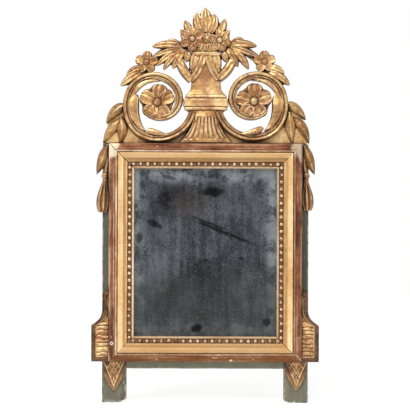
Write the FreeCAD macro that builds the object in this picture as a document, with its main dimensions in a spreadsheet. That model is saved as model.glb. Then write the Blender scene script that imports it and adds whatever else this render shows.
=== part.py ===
import FreeCAD, Part
import math
import os
import Sketcher

Vector = FreeCAD.Vector

# Pediment mirror in millimetres. The wall is the plane Y = 0 and the front looks along -Y.
# Z = 0 is level with the lower edge of the gilded moulding, X = 0 is the middle.

SIZES = {
    # the glass and what shows of it
    "sight_width": 252.0,
    "sight_height": 296.5,
    "glass_lap": 14.0,
    "glass_thickness": 3.0,
    "glass_clearance": 0.6,
    # moulding, across from its outer edge to the glass
    "band_width": 10.6,
    "step_width": 4.2,
    "groove_width": 1.2,
    "flat_width": 9.0,
    "cove_width": 6.8,
    "channel_width": 8.8,
    "lip_width": 3.5,
    # moulding, heights above the frame that carries it
    "edge_height": 18.0,
    "edge_bevel": 2.0,
    "band_height": 22.0,
    "step_height": 20.0,
    "groove_floor": 17.0,
    "flat_height": 20.0,
    "flat_low_height": 18.0,
    "cove_foot_height": 10.5,
    "channel_floor": 7.5,
    "lip_height": 9.5,
    "pearl_radius": 4.1,
    "pearl_pitch": 12.3,
    "nail_radius": 1.1,
    "nail_grip": 12.0,
    # frame of stiles and rails
    "frame_thickness": 24.0,
    "stile_reveal": 12.5,
    "rail_reveal": 14.0,
    "foot_length": 60.4,
    "tenon_length": 28.0,
    "tenon_thickness": 8.0,
    "tenon_back": 9.0,
    "tenon_shoulder": 9.5,
    "joint_clearance": 0.1,
    "peg_radius": 3.2,
    # boards and blocks behind the glass
    "rabbet_width": 7.0,
    "backboard_thickness": 6.0,
    "backboard_inset": 1.0,
    "board_clearance": 0.4,
    "board_nail_radius": 0.9,
    "board_nail_grip": 7.0,
    "block_length": 36.0,
    "block_width": 8.0,
    # pediment: ground board, carvings and stiffening batten
    "pediment_height": 241.0,
    "pediment_setback": 14.0,
    "board_thickness": 10.0,
    "dowel_radius": 2.6,
    "dowel_grip": 14.0,
    "dowel_spacing": 230.0,
    "scroll_rise": 9.0,
    "scroll_bead_rise": 12.0,
    "leaf_rise": 10.0,
    "acanthus_rise": 13.0,
    "petal_rise": 9.0,
    "boss_radius": 7.0,
    "small_boss_radius": 4.4,
    "rosette_rise": 11.0,
    "swag_rise": 13.0,
    "urn_rise": 8.0,
    "collar_rise": 13.0,
    "foot_rise": 11.0,
    "flute_depth": 3.0,
    "batten_width": 46.0,
    "batten_thickness": 8.0,
    "batten_lap": 20.0,
    "batten_height": 150.0,
    "batten_screw_radius": 2.0,
    "batten_screw_grip": 7.0,
    # carved drops beside the moulding
    "drop_reach": 23.0,
    "drop_length": 122.0,
    "drop_rise": 12.0,
    "knot_radius": 6.0,
    # side brackets
    "bracket_height": 124.0,
    "bracket_flare_height": 99.0,
    "bracket_base_height": 64.0,
    "bracket_neck": 11.0,
    "bracket_reach": 30.6,
    "bracket_depth": 15.0,
    "panel_border": 8.5,
    "panel_inner_border": 3.0,
    "panel_depth": 4.0,
    "ridge_height": 3.0,
    "bracket_clearance": 0.2,
    "bracket_nail_radius": 1.0,
    "bracket_nail_grip": 10.0,
    # carved leaves on the feet
    "foot_leaf_length": 53.0,
    "foot_leaf_margin": 1.0,
    "foot_leaf_rise": 8.0,
    # iron hanger on the batten
    "hanger_height": 70.0,
    "hanger_plate_width": 18.0,
    "hanger_plate_length": 44.0,
    "hanger_plate_thickness": 1.2,
    "ring_wire_radius": 1.3,
    "ring_radius": 13.0,
    "ring_gap": 0.5,
    "knuckle_wall": 1.1,
    "knuckle_clearance": 0.08,
    "hanger_screw_radius": 1.6,
    "hanger_screw_grip": 6.5,
    # cuts run past the faces that they open by this much
    "overrun": 3.0,
}

# Places in the photograph, in its own pixels. The pediment spans them from its axis and base line.
AXIS_PX = 206.9
BASE_PX = 144.0
HALF_PX = 96.0
HEIGHT_PX = 136.0

# outer edge of the scroll: angle in degrees round the rosette, then distance from its centre
SCROLL_EDGE_PX = (
    (-140, 17.4), (-107, 17.8), (-61, 20.2), (-18, 24.0), (10, 26.4), (45, 27.7), (92, 29.8),
    (152, 33.0), (182, 34.0), (209, 36.2), (236, 39.2), (258, 39.8), (311, 40.4), (344, 40.4),
)
SCROLL_BAND_PX = ((-140, 4.0), (-61, 5.8), (0, 7.8), (180, 7.8), (344, 7.4))
SCROLL_CENTRES_PX = {"left": (158.3, 102.5), "right": (255.0, 101.5)}
SCROLL_START = -140
SCROLL_END = 344
SCROLL_STEPS = 20
ROSETTE_PETALS = {"left": (25, 80, 157, 233, 301), "right": (18, 87, 168, 231, 298)}
ROSETTE_REACH_PX = 17.4
ROSETTE_WIDTH_PX = 14.5
ROSETTE_BACK_PX = 14.0

# leaves: points that lead the midrib from base to tip, then the full width
ACANTHUS_PX = {
    "left": (
        (((138.5, 95.0), (133.0, 105.0), (133.5, 122.0), (147.0, 131.5)), 9.5),
        (((170.0, 135.5), (162.0, 134.0), (156.0, 130.0), (148.5, 130.0)), 4.5),
        (((134.5, 98.0), (139.0, 86.5), (150.0, 82.0), (161.0, 84.5)), 4.5),
    ),
    "right": (
        (((275.0, 94.0), (280.5, 104.0), (279.5, 121.0), (265.0, 131.0)), 9.5),
        (((243.0, 134.0), (252.0, 133.0), (257.0, 128.5), (263.0, 127.8)), 5.0),
        (((278.5, 97.0), (274.0, 85.5), (263.0, 81.0), (252.0, 83.5)), 4.5),
    ),
}
SPRAY_PX = {
    "left": (
        (((186.0, 47.0), (170.0, 42.0), (153.3, 46.6)), 11.5),
        (((183.0, 49.0), (170.0, 52.0), (154.0, 60.0)), 7.5),
        (((184.0, 50.0), (171.0, 55.0), (164.2, 70.5)), 10.0),
        (((189.0, 51.0), (182.0, 58.0), (175.0, 69.5)), 8.5),
    ),
    "right": (
        (((228.0, 46.0), (243.0, 41.0), (257.6, 45.7)), 11.5),
        (((231.0, 48.0), (244.0, 51.0), (258.5, 59.0)), 7.5),
        (((229.0, 49.0), (243.0, 54.0), (249.6, 70.0)), 10.0),
        (((225.0, 50.0), (232.0, 57.0), (238.2, 67.6)), 9.0),
    ),
}
GARLAND_LEAF_PX = {
    "left": (
        (((146.0, 68.0), (136.0, 68.0), (127.3, 76.0)), 7.5),
        (((147.0, 72.0), (133.0, 76.0), (121.8, 86.6)), 9.5),
    ),
    "right": (
        (((267.0, 67.0), (277.0, 66.5), (285.3, 73.6)), 7.5),
        (((266.0, 71.0), (280.0, 74.5), (290.6, 85.2)), 9.5),
    ),
}
LAUREL_PX = {
    "left": (
        (((127.0, 105.5), (117.5, 110.5), (108.2, 124.6)), 10.0),
        (((119.0, 118.0), (110.5, 127.0), (104.3, 143.8)), 10.5),
        (((122.5, 117.0), (124.0, 131.0), (120.8, 143.6)), 10.5),
    ),
    "right": (
        (((287.0, 105.0), (297.0, 110.0), (306.4, 119.8)), 10.0),
        (((294.0, 115.5), (304.5, 124.5), (310.0, 143.5)), 11.5),
        (((290.5, 111.0), (289.0, 128.0), (292.2, 142.4)), 10.5),
    ),
}
CREST_PX = (
    (((207.0, 37.0), (206.5, 22.0), (205.5, 8.0)), 12.5),
    (((205.0, 36.0), (196.5, 27.0), (197.2, 13.4)), 10.5),
    (((208.5, 36.0), (217.5, 27.0), (214.4, 15.0)), 10.5),
    (((196.0, 38.0), (188.0, 31.0), (186.6, 21.5)), 8.5),
    (((217.0, 37.0), (225.5, 30.0), (225.2, 19.4)), 8.5),
    (((193.0, 41.0), (186.0, 36.0), (181.4, 29.5)), 6.5),
    (((221.0, 41.0), (227.0, 36.0), (229.8, 29.5)), 6.5),
)
# drapery on the vase: the inner and the outer arm of each swag, and the fold between them
SWAG_PX = {
    "left": (
        (((204.0, 52.0), (202.5, 67.0), (192.5, 81.0)), 9.5),
        (((178.5, 61.0), (182.5, 72.0), (192.5, 80.5)), 9.0),
        (((197.5, 51.0), (191.5, 61.0), (192.3, 79.0)), 9.0),
    ),
    "right": (
        (((208.5, 52.0), (210.5, 67.0), (219.5, 79.5)), 9.5),
        (((235.0, 60.5), (231.0, 71.0), (219.5, 79.0)), 9.0),
        (((213.5, 51.0), (219.0, 60.5), (219.4, 78.0)), 9.0),
    ),
}
# flowers: centre, angles of the petals, reach from the centre, width of a petal
BOUQUET_PX = {
    "left": ((193.0, 39.5), (30, 88, 150, 208, 270, 330), 12.4, 10.5),
    "right": ((220.5, 41.0), (40, 92, 165, 235, 290, 345), 11.2, 9.5),
}
BUD_PX = ((210.0, 38.5), (0, 72, 144, 216, 288), 5.0, 4.5)
GARLAND_FLOWER_PX = {
    "left": ((147.5, 63.0), (12, 84, 160, 232, 304), 11.2, 10.0),
    "right": ((265.5, 62.0), (20, 92, 165, 236, 308), 11.0, 10.0),
}

# vase: height in the photograph, then its half-width there
URN_BODY_PX = ((55.0, 17.0), (60.0, 15.6), (84.0, 14.6), (90.0, 15.4), (93.4, 17.6), (95.4, 20.4))
URN_COLLAR_PX = ((95.4, 98.9, 20.6), (98.9, 107.2, 22.6), (107.2, 110.9, 21.6))
COLLAR_RISE_SHARES = (0.85, 1.0, 0.85)
URN_FOOT_PX = ((110.9, 19.4), (116.4, 12.5), (125.0, 14.0), (133.0, 18.0), (142.8, 26.0))
FLUTES = 6

# ground board: corners of its spandrels, backing of the bouquet and of the sprays
SPANDREL_PX = {
    "left": ((106.5, 144.0), (110.0, 126.0), (117.0, 112.0), (127.0, 104.0), (130.0, 122.0),
             (139.0, 135.0), (153.0, 144.0)),
    "right": ((307.5, 144.0), (304.0, 125.0), (296.5, 110.0), (286.0, 103.0), (283.0, 121.0),
              (274.0, 134.0), (260.0, 144.0)),
}
PLINTH_PX = (
    (150.0, 144.0), (170.0, 139.0), (186.0, 130.0), (194.0, 114.0), (220.0, 114.0), (225.0, 128.0),
    (243.0, 139.0), (263.0, 144.0),
)
BASE_STRIP_PX = ((105.8, 144.0), (106.6, 140.6), (307.3, 140.6), (308.1, 144.0))
BOUQUET_BACK_PX = ((206.8, 40.5), 15.0)
CREST_BACK_PX = ((206.9, 38.0), (206.5, 26.0), (206.0, 13.0))
CREST_BACK_WIDTH_PX = 13.0
ARM_PX = {
    "left": ((194.0, 46.0), (170.0, 46.0), (150.0, 57.0), (147.0, 76.0)),
    "right": ((219.0, 46.0), (243.0, 45.0), (263.0, 56.0), (266.0, 75.0)),
}
ARM_WIDTH_PX = 8.5
TRAIL_PX = {
    "left": ((147.0, 68.0), (134.0, 75.0), (126.0, 84.0)),
    "right": ((266.0, 67.0), (279.0, 73.0), (287.0, 83.0)),
}
TRAIL_WIDTH_PX = 7.0

# carved drops: distance out from the moulding, then distance down from its top
DROP_REACH_PX = 13.0
DROP_LENGTH_PX = 69.0
DROP_PX = {
    "left": {"leaf": ((1.5, 1.5), (7.0, 16.0), (12.8, 31.0)), "knot": (4.6, 32.5),
             "bud": ((4.0, 35.5), (6.8, 52.0), (7.0, 69.0)), "widths": (11.0, 13.2)},
    "right": {"leaf": ((1.5, 0.5), (7.5, 16.0), (12.8, 30.5)), "knot": (4.6, 32.0),
              "bud": ((3.8, 35.0), (6.4, 51.0), (6.2, 66.5)), "widths": (11.0, 12.2)},
}

# shares that shape the carving, the coves and the places of the screws
EDGE_SHARE = 0.42
RIDGE_SHARE = 0.7
KNOT_LIFT_SHARE = 0.3
KNOB_LIFT_SHARE = 0.55
SCROLL_BEAD_SHARES = (0.25, 0.7)
BOUQUET_RISE_SHARE = 1.3
BUD_RISE_SHARE = 1.4
SPLINTER_SHARE = 0.02
COVE_RADIUS_SHARE = 0.75
FLARE_RADIUS_SHARE = 0.78
BATTEN_SCREW_SHARES = (0.15, 0.85)
HANGER_SCREW_SHARES = (0.45, 0.82)
BLADE_STATIONS = 8
RIDGES = 7

SIDES = {"left": -1, "right": 1}

doc = FreeCAD.newDocument("pediment_mirror")
sheet = doc.addObject("Spreadsheet::Sheet", "sizes")
for row, (alias, value) in enumerate(SIZES.items(), 1):
    sheet.set("A%d" % row, alias)
    sheet.set("B%d" % row, str(value))
    sheet.setAlias("B%d" % row, alias)
doc.recompute()

# Expressions that more than one piece uses
MOULDING_WIDTH = (
    "(sizes.band_width + sizes.step_width + sizes.groove_width + sizes.flat_width"
    " + sizes.cove_width + sizes.channel_width + sizes.lip_width)"
)
HALF_WIDTH = "(sizes.sight_width / 2 + %s)" % MOULDING_WIDTH
TOP = "(sizes.sight_height + 2 * %s)" % MOULDING_WIDTH
STILE_INNER = "(sizes.sight_width / 2 + sizes.glass_lap)"
STILE_OUTER = "(%s + sizes.stile_reveal)" % HALF_WIDTH
OPENING_LOW = "(%s - sizes.glass_lap)" % MOULDING_WIDTH
OPENING_HIGH = "(%s - %s + sizes.glass_lap)" % (TOP, MOULDING_WIDTH)
RAIL_LOW = "(-sizes.rail_reveal)"
FOOT_LOW = "(-sizes.rail_reveal - sizes.foot_length)"
RABBET_DEPTH = "(sizes.backboard_thickness + sizes.backboard_inset)"
CARVING_FLOOR = "(sizes.pediment_setback + sizes.board_thickness)"
HINGE_DEPTH = (
    "(sizes.pediment_setback - sizes.batten_thickness - sizes.hanger_plate_thickness"
    " - sizes.ring_gap - sizes.ring_wire_radius)"
)
BATTEN_LOW = "(%s - sizes.batten_lap)" % TOP
HINGE_LEVEL = "(%s + sizes.hanger_height)" % TOP

nodes = []


def number(expression):
    """The value that an expression has now."""
    return float(sheet.evalExpression(expression))


def size(alias):
    return float(sheet.get(alias))


def times(sign, expression):
    """The expression, mirrored for the side with the negative sign."""
    return "%d * (%s)" % (sign, expression)


def keep(item, label):
    item.Label = label
    nodes.append(item)
    return item


# Sketches and features of the bodies

def new_body(label):
    return keep(doc.addObject("PartDesign::Body", label), label)


def new_sketch(body, role, offset="0"):
    plane = [item for item in body.Origin.OriginFeatures if item.Role == role][0]
    sketch = body.newObject("Sketcher::SketchObject", "outline")
    sketch.AttachmentSupport = [(plane, "")]
    sketch.MapMode = "FlatFace"
    sketch.setExpression("AttachmentOffset.Base.z", offset)
    return sketch


def fix_point(sketch, geometry, corner, place):
    """Tie one point of the sketch to its place, given as two expressions."""
    for kind, expression in zip(("DistanceX", "DistanceY"), place):
        tie = Sketcher.Constraint(kind, -1, 1, geometry, corner, number(expression))
        index = sketch.addConstraint(tie)
        sketch.setExpression("Constraints[%d]" % index, expression)


def add_outline(sketch, places, arcs=()):
    """A closed outline through places. arcs maps a segment to its radius and to the side it bends."""
    arcs = dict(arcs)
    points = [Vector(number(x), number(y), 0) for x, y in places]
    first = sketch.GeometryCount
    count = len(points)
    for index in range(count):
        start, end = points[index], points[(index + 1) % count]
        if index in arcs:
            radius, side = arcs[index]
            chord = end - start
            across = Vector(-chord.y, chord.x, 0).normalize()
            depth = number(radius) - math.sqrt(number(radius) ** 2 - chord.Length ** 2 / 4)
            middle = (start + end) / 2 + across * (side * depth)
            sketch.addGeometry(Part.Arc(start, middle, end))
        else:
            sketch.addGeometry(Part.LineSegment(start, end))
    ends = []
    for index in range(count):
        turned = index in arcs and arcs[index][1] > 0
        ends.append((2, 1) if turned else (1, 2))
    for index in range(count):
        after = (index + 1) % count
        tie = Sketcher.Constraint(
            "Coincident", first + index, ends[index][1], first + after, ends[after][0])
        sketch.addConstraint(tie)
    for index, place in enumerate(places):
        fix_point(sketch, first + index, ends[index][0], place)
    for index, (radius, side) in arcs.items():
        tie = Sketcher.Constraint("Radius", first + index, number(radius))
        place = sketch.addConstraint(tie)
        sketch.setExpression("Constraints[%d]" % place, radius)


def add_box(sketch, low, high):
    add_outline(sketch, (low, (high[0], low[1]), high, (low[0], high[1])))


def add_circle(sketch, place, radius):
    centre = Vector(number(place[0]), number(place[1]), 0)
    index = sketch.addGeometry(Part.Circle(centre, Vector(0, 0, 1), number(radius)))
    fix_point(sketch, index, 3, place)
    tie = sketch.addConstraint(Sketcher.Constraint("Radius", index, number(radius)))
    sketch.setExpression("Constraints[%d]" % tie, radius)


def pad(body, sketch, length, both_ways=False):
    feature = body.newObject("PartDesign::Pad", "pad")
    feature.Profile = sketch
    feature.setExpression("Length", length)
    if both_ways:
        feature.SideType = "Symmetric"
    doc.recompute()
    return feature


def pocket(body, sketch, length=None, turned=False):
    """Cut the sketch into the body: by a length, or right through when none is given."""
    before = body.Shape.Volume
    feature = body.newObject("PartDesign::Pocket", "pocket")
    feature.Profile = sketch
    feature.Reversed = turned
    if length is None:
        feature.SideType = "Symmetric"
        feature.Type = "ThroughAll"
    else:
        feature.setExpression("Length", length)
    doc.recompute()
    if not body.Shape.Volume < before:
        raise RuntimeError("%s: a pocket cuts nothing" % body.Label)
    return feature


def repeat(body, feature, role, length, count):
    """Repeat a feature along one of the body's axes."""
    axis = [item for item in body.Origin.OriginFeatures if item.Role == role][0]
    pattern = body.newObject("PartDesign::LinearPattern", "row")
    pattern.Originals = [feature]
    pattern.Direction = (axis, [""])
    pattern.setExpression("Length", length)
    pattern.setExpression("Occurrences", count)
    body.Tip = pattern
    doc.recompute()


# Plain pins and blocks

def pin(radius, length, place, turn=Vector(1, 0, 0), angle=90):
    """A round pin. It points along -Y unless it is turned otherwise."""
    item = doc.addObject("Part::Cylinder", "pin")
    item.setExpression("Radius", radius)
    item.setExpression("Height", length)
    item.Placement.Rotation = FreeCAD.Rotation(turn, angle)
    for axis, expression in zip("xyz", place):
        item.setExpression("Placement.Base.%s" % axis, expression)
    return item


def block(extent, place):
    item = doc.addObject("Part::Box", "block")
    for side, expression in zip(("Length", "Width", "Height"), extent):
        item.setExpression(side, expression)
    for axis, expression in zip("xyz", place):
        item.setExpression("Placement.Base.%s" % axis, expression)
    return item


def group(label, items):
    """Like pieces that share one node."""
    item = doc.addObject("Part::Compound", label)
    item.Links = items
    return keep(item, label)


# Frame of stiles and rails

def peg_places():
    inset = "(%s + sizes.tenon_length / 2)" % STILE_INNER
    low = "((%s + %s) / 2)" % (RAIL_LOW, OPENING_LOW)
    high = "((%s + %s) / 2)" % (OPENING_HIGH, TOP)
    return [(times(sign, inset), level) for sign in SIDES.values() for level in (low, high)]


def tenon_levels():
    """Lower and upper edge of the tenon on the bottom rail, then on the top rail."""
    shoulder = "sizes.tenon_shoulder"
    low = ("%s + %s" % (RAIL_LOW, shoulder), "%s - %s" % (OPENING_LOW, shoulder))
    high = ("%s + %s" % (OPENING_HIGH, shoulder), "%s - %s" % (TOP, shoulder))
    return low, high


def make_stile(side, sign):
    body = new_body("stile_" + side)
    outline = new_sketch(body, "XZ_Plane")
    add_box(outline, (times(sign, STILE_INNER), FOOT_LOW), (times(sign, STILE_OUTER), TOP))
    pad(body, outline, "sizes.frame_thickness")
    mortises = new_sketch(body, "YZ_Plane", times(sign, STILE_INNER))
    gap = "sizes.joint_clearance"
    near = "-(sizes.tenon_back - %s)" % gap
    far = "-(sizes.tenon_back + sizes.tenon_thickness + %s)" % gap
    for low, high in tenon_levels():
        add_box(mortises, (far, "%s - %s" % (low, gap)), (near, "%s + %s" % (high, gap)))
    pocket(body, mortises, "sizes.tenon_length + %s" % gap, turned=sign > 0)
    rabbet = new_sketch(body, "XZ_Plane")
    add_box(
        rabbet,
        (times(sign, "%s - sizes.overrun" % STILE_INNER), "%s - sizes.rabbet_width" % OPENING_LOW),
        (times(sign, "%s + sizes.rabbet_width" % STILE_INNER), "%s + sizes.rabbet_width" % OPENING_HIGH))
    pocket(body, rabbet, RABBET_DEPTH, turned=True)
    holes = new_sketch(body, "XZ_Plane")
    for place in peg_places():
        if place[0].startswith("%d " % sign):
            add_circle(holes, place, "sizes.peg_radius")
    pocket(body, holes)


def make_rail(label, low, high, tenon, rabbet):
    body = new_body(label)
    outline = new_sketch(body, "XZ_Plane")
    add_box(outline, (times(-1, STILE_INNER), low), (STILE_INNER, high))
    pad(body, outline, "sizes.frame_thickness")
    tenons = new_sketch(body, "XZ_Plane", "sizes.tenon_back")
    reach = "(%s + sizes.tenon_length)" % STILE_INNER
    add_box(tenons, (times(-1, reach), tenon[0]), (reach, tenon[1]))
    pad(body, tenons, "sizes.tenon_thickness")
    groove = new_sketch(body, "XZ_Plane")
    past = "(%s + sizes.overrun)" % STILE_INNER
    add_box(groove, (times(-1, past), rabbet[0]), (past, rabbet[1]))
    pocket(body, groove, RABBET_DEPTH, turned=True)
    holes = new_sketch(body, "XZ_Plane")
    level = "((%s + %s) / 2)" % (low, high)
    for place in peg_places():
        if place[1] == level:
            add_circle(holes, place, "sizes.peg_radius")
    pocket(body, holes)
    return body


def make_frame():
    for side, sign in SIDES.items():
        make_stile(side, sign)
    low, high = tenon_levels()
    make_rail(
        "bottom_rail", RAIL_LOW, OPENING_LOW, low,
        ("%s - sizes.rabbet_width" % OPENING_LOW, "%s + sizes.overrun" % OPENING_LOW))
    rail = make_rail(
        "top_rail", OPENING_HIGH, TOP, high,
        ("%s - sizes.overrun" % OPENING_HIGH, "%s + sizes.rabbet_width" % OPENING_HIGH))
    housing = new_sketch(rail, "XZ_Plane")
    half = "(sizes.batten_width / 2 + sizes.joint_clearance)"
    add_box(
        housing, (times(-1, half), "%s - sizes.joint_clearance" % BATTEN_LOW),
        (half, "%s + sizes.overrun" % TOP))
    pocket(rail, housing, "sizes.pediment_setback", turned=True)
    holes = new_sketch(rail, "XY_Plane", TOP)
    for place in dowel_places():
        add_circle(holes, place, "sizes.dowel_radius")
    pocket(rail, holes, "sizes.dowel_grip")
    pegs = [
        pin("sizes.peg_radius - sizes.joint_clearance", "sizes.frame_thickness", (x, "0", z))
        for x, z in peg_places()]
    group("frame_pegs", pegs)


def dowel_places():
    depth = "-(sizes.pediment_setback + sizes.frame_thickness) / 2"
    return [(times(sign, "sizes.dowel_spacing / 2"), depth) for sign in SIDES.values()]


# Moulding round the glass

def moulding_profile():
    """Corners of the section as pairs of height towards the front and place across."""
    place = "0"
    corners = [("0", "0"), ("-sizes.edge_height", "0"), ("-sizes.band_height", "sizes.edge_bevel")]
    heights = (
        ("band_width", "band_height", "step_height"),
        ("step_width", "step_height", "groove_floor"),
        ("groove_width", "groove_floor", "flat_height"),
        ("flat_width", "flat_low_height", None),
        ("cove_width", "cove_foot_height", "channel_floor"),
        ("channel_width", "channel_floor", "lip_height"),
        ("lip_width", "lip_height", None),
    )
    for width, here, after in heights:
        place = "%s + sizes.%s" % (place, width)
        corners.append(("-sizes.%s" % here, place))
        if after:
            corners.append(("-sizes.%s" % after, place))
    corners.append(("0", place))
    return corners


def make_moulding(label, inner_length, place, angle):
    body = new_body(label)
    length = "(%s + 2 * %s)" % (inner_length, MOULDING_WIDTH)
    section = new_sketch(body, "YZ_Plane")
    corners = moulding_profile()
    cove = [index for index, corner in enumerate(corners) if "flat_low" in corner[0]][0]
    drop = "(sizes.flat_low_height - sizes.cove_foot_height)"
    radius = "%g * sqrt(sizes.cove_width ^ 2 + %s ^ 2)" % (COVE_RADIUS_SHARE, drop)
    add_outline(section, corners, {cove: (radius, -1)})
    pad(body, section, length, both_ways=True)
    mitres = new_sketch(body, "XZ_Plane")
    for sign in SIDES.values():
        past = "sizes.overrun"
        end = "(%s / 2 + %s)" % (length, past)
        top = "(%s + %s)" % (MOULDING_WIDTH, past)
        inner = "(%s / 2 - %s)" % (length, top)
        add_outline(mitres, (
            (times(sign, end), "-" + past), (times(sign, inner), top), (times(sign, end), top)))
    pocket(body, mitres)
    line = "(%s - sizes.lip_width - sizes.channel_width / 2)" % MOULDING_WIDTH
    run = "(%s - 2 * %s)" % (length, line)
    count = "floor(%s / sizes.pearl_pitch)" % run
    pearl = body.newObject("PartDesign::AdditiveSphere", "pearl")
    pearl.setExpression("Radius", "sizes.pearl_radius")
    pearl.setExpression("Placement.Base.x", "-%s / 2 + %s / %s / 2" % (run, run, count))
    pearl.setExpression("Placement.Base.y", "-sizes.channel_floor")
    pearl.setExpression("Placement.Base.z", line)
    doc.recompute()
    repeat(body, pearl, "X_Axis", "%s - %s / %s" % (run, run, count), count)
    body.Placement.Rotation = FreeCAD.Rotation(Vector(0, 1, 0), angle)
    for axis, expression in zip("xyz", place):
        body.setExpression("Placement.Base.%s" % axis, expression)


def make_mouldings():
    front = "-sizes.frame_thickness"
    middle = "%s / 2" % TOP
    make_moulding("moulding_bottom", "sizes.sight_width", ("0", front, "0"), 0)
    make_moulding("moulding_top", "sizes.sight_width", ("0", front, TOP), 180)
    make_moulding("moulding_left", "sizes.sight_height", (times(-1, HALF_WIDTH), front, middle), 90)
    make_moulding("moulding_right", "sizes.sight_height", (HALF_WIDTH, front, middle), -90)
    inset = "sizes.band_width / 2"
    start = "-sizes.frame_thickness - sizes.band_height"
    length = "sizes.band_height + sizes.nail_grip"
    nails = []
    for sign in SIDES.values():
        across = times(sign, "%s / 2" % HALF_WIDTH)
        for level in (inset, "%s - %s" % (TOP, inset)):
            nails.append(pin("sizes.nail_radius", length, (across, start, level), angle=-90))
        edge = times(sign, "%s - %s" % (HALF_WIDTH, inset))
        for level in (MOULDING_WIDTH, "%s - %s" % (TOP, MOULDING_WIDTH)):
            nails.append(pin("sizes.nail_radius", length, (edge, start, level), angle=-90))
    group("moulding_nails", nails)


# Glass, blocks and backboards

def make_glazing():
    plate = new_body("mirror_plate")
    outline = new_sketch(plate, "XZ_Plane", "sizes.frame_thickness - sizes.glass_thickness")
    half = "(%s - sizes.glass_clearance)" % STILE_INNER
    low = "%s + sizes.glass_clearance" % OPENING_LOW
    high = "%s - sizes.glass_clearance" % OPENING_HIGH
    add_box(outline, (times(-1, half), low), (half, high))
    pad(plate, outline, "sizes.glass_thickness")

    middle = "%s / 2" % TOP
    half = "(%s + sizes.rabbet_width - sizes.board_clearance)" % STILE_INNER
    low = "%s - sizes.rabbet_width + sizes.board_clearance" % OPENING_LOW
    high = "%s + sizes.rabbet_width - sizes.board_clearance" % OPENING_HIGH
    for label, start, end in (("backboard_lower", low, middle), ("backboard_upper", middle, high)):
        board = new_body(label)
        outline = new_sketch(board, "XZ_Plane", "sizes.backboard_inset")
        add_box(outline, (times(-1, half), start), (half, end))
        pad(board, outline, "sizes.backboard_thickness")

    depth = "sizes.frame_thickness - sizes.glass_thickness - %s" % RABBET_DEPTH
    front = "-(sizes.frame_thickness - sizes.glass_thickness)"
    upright = ("sizes.block_width", depth, "sizes.block_length")
    level = ("sizes.block_length", depth, "sizes.block_width")
    quarter = "sizes.sight_height / 4"
    blocks = []
    for step in SIDES.values():
        height = "%s + %d * %s - sizes.block_length / 2" % (middle, step, quarter)
        blocks.append(block(upright, (times(-1, STILE_INNER), front, height)))
        blocks.append(block(upright, ("%s - sizes.block_width" % STILE_INNER, front, height)))
        across = "%d * sizes.sight_width / 4 - sizes.block_length / 2" % step
        blocks.append(block(level, (across, front, OPENING_LOW)))
        blocks.append(block(level, (across, front, "%s - sizes.block_width" % OPENING_HIGH)))
    group("glazing_blocks", blocks)

    edge = "(%s + sizes.rabbet_width / 2)" % STILE_INNER
    length = "sizes.backboard_thickness + sizes.board_nail_grip"
    start = "-sizes.backboard_inset"
    nails = []
    for sign in SIDES.values():
        for step in (-3, -1, 1, 3):
            height = "%s + %d * %s / 2" % (middle, step, quarter)
            nails.append(pin("sizes.board_nail_radius", length, (times(sign, edge), start, height)))
        across = times(sign, "sizes.sight_width / 4")
        for height in (
                "%s - sizes.rabbet_width / 2" % OPENING_LOW, "%s + sizes.rabbet_width / 2" % OPENING_HIGH):
            nails.append(pin("sizes.board_nail_radius", length, (across, start, height)))
    group("backboard_nails", nails)


# Carving: shapes are drawn in picture points, then put in place in millimetres

def pediment_spot(point):
    across = (point[0] - AXIS_PX) * number(HALF_WIDTH) / HALF_PX
    up = (BASE_PX - point[1]) * size("pediment_height") / HEIGHT_PX
    return across, number(TOP) + up


def at(spot, depth):
    return Vector(spot[0], -depth, spot[1])


def along(route, share):
    """Point of the smooth curve that the route's points lead."""
    points = list(route)
    while len(points) > 1:
        points = [
            (a[0] + (b[0] - a[0]) * share, a[1] + (b[1] - a[1]) * share)
            for a, b in zip(points, points[1:])]
    return points[0]


def leaf_shape(share):
    return max(0.05, math.sin(math.pi * share ** 0.75) ** 0.8 if share < 1 else 0.0, 0.4 - 2 * share)


def petal_shape(share):
    return 0.4 + 0.6 * math.sin(math.pi * min(1.0, 0.1 + 0.62 * share)) - 0.35 * share ** 6


def ribbon_shape(share):
    return 0.8 + 0.2 * math.sin(math.pi * share)


def lobe_shape(share):
    return math.sin(math.pi * (0.15 + 0.77 * share)) ** 0.8


def bud_shape(share):
    return 0.35 + 0.65 * math.sin(math.pi * 0.86 * share ** 1.4)


def shield_shape(share):
    return max(0.05, 1 - share ** 1.7)


def edges_of(route, width, shape):
    """Left and right edge and midrib of a blade, in picture points."""
    nudge = 0.01
    left, right, middle = [], [], []
    for step in range(BLADE_STATIONS + 1):
        share = step / BLADE_STATIONS
        here = along(route, share)
        before, after = along(route, share - nudge), along(route, share + nudge)
        run = (after[0] - before[0], after[1] - before[1])
        long = math.hypot(*run)
        half = width / 2 * shape(share)
        side = (-run[1] / long * half, run[0] / long * half)
        left.append((here[0] + side[0], here[1] + side[1]))
        right.append((here[0] - side[0], here[1] - side[1]))
        middle.append(here)
    return left, right, middle


def facet(*corners):
    return Part.Face(Part.makePolygon(list(corners) + [corners[0]]))


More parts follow.
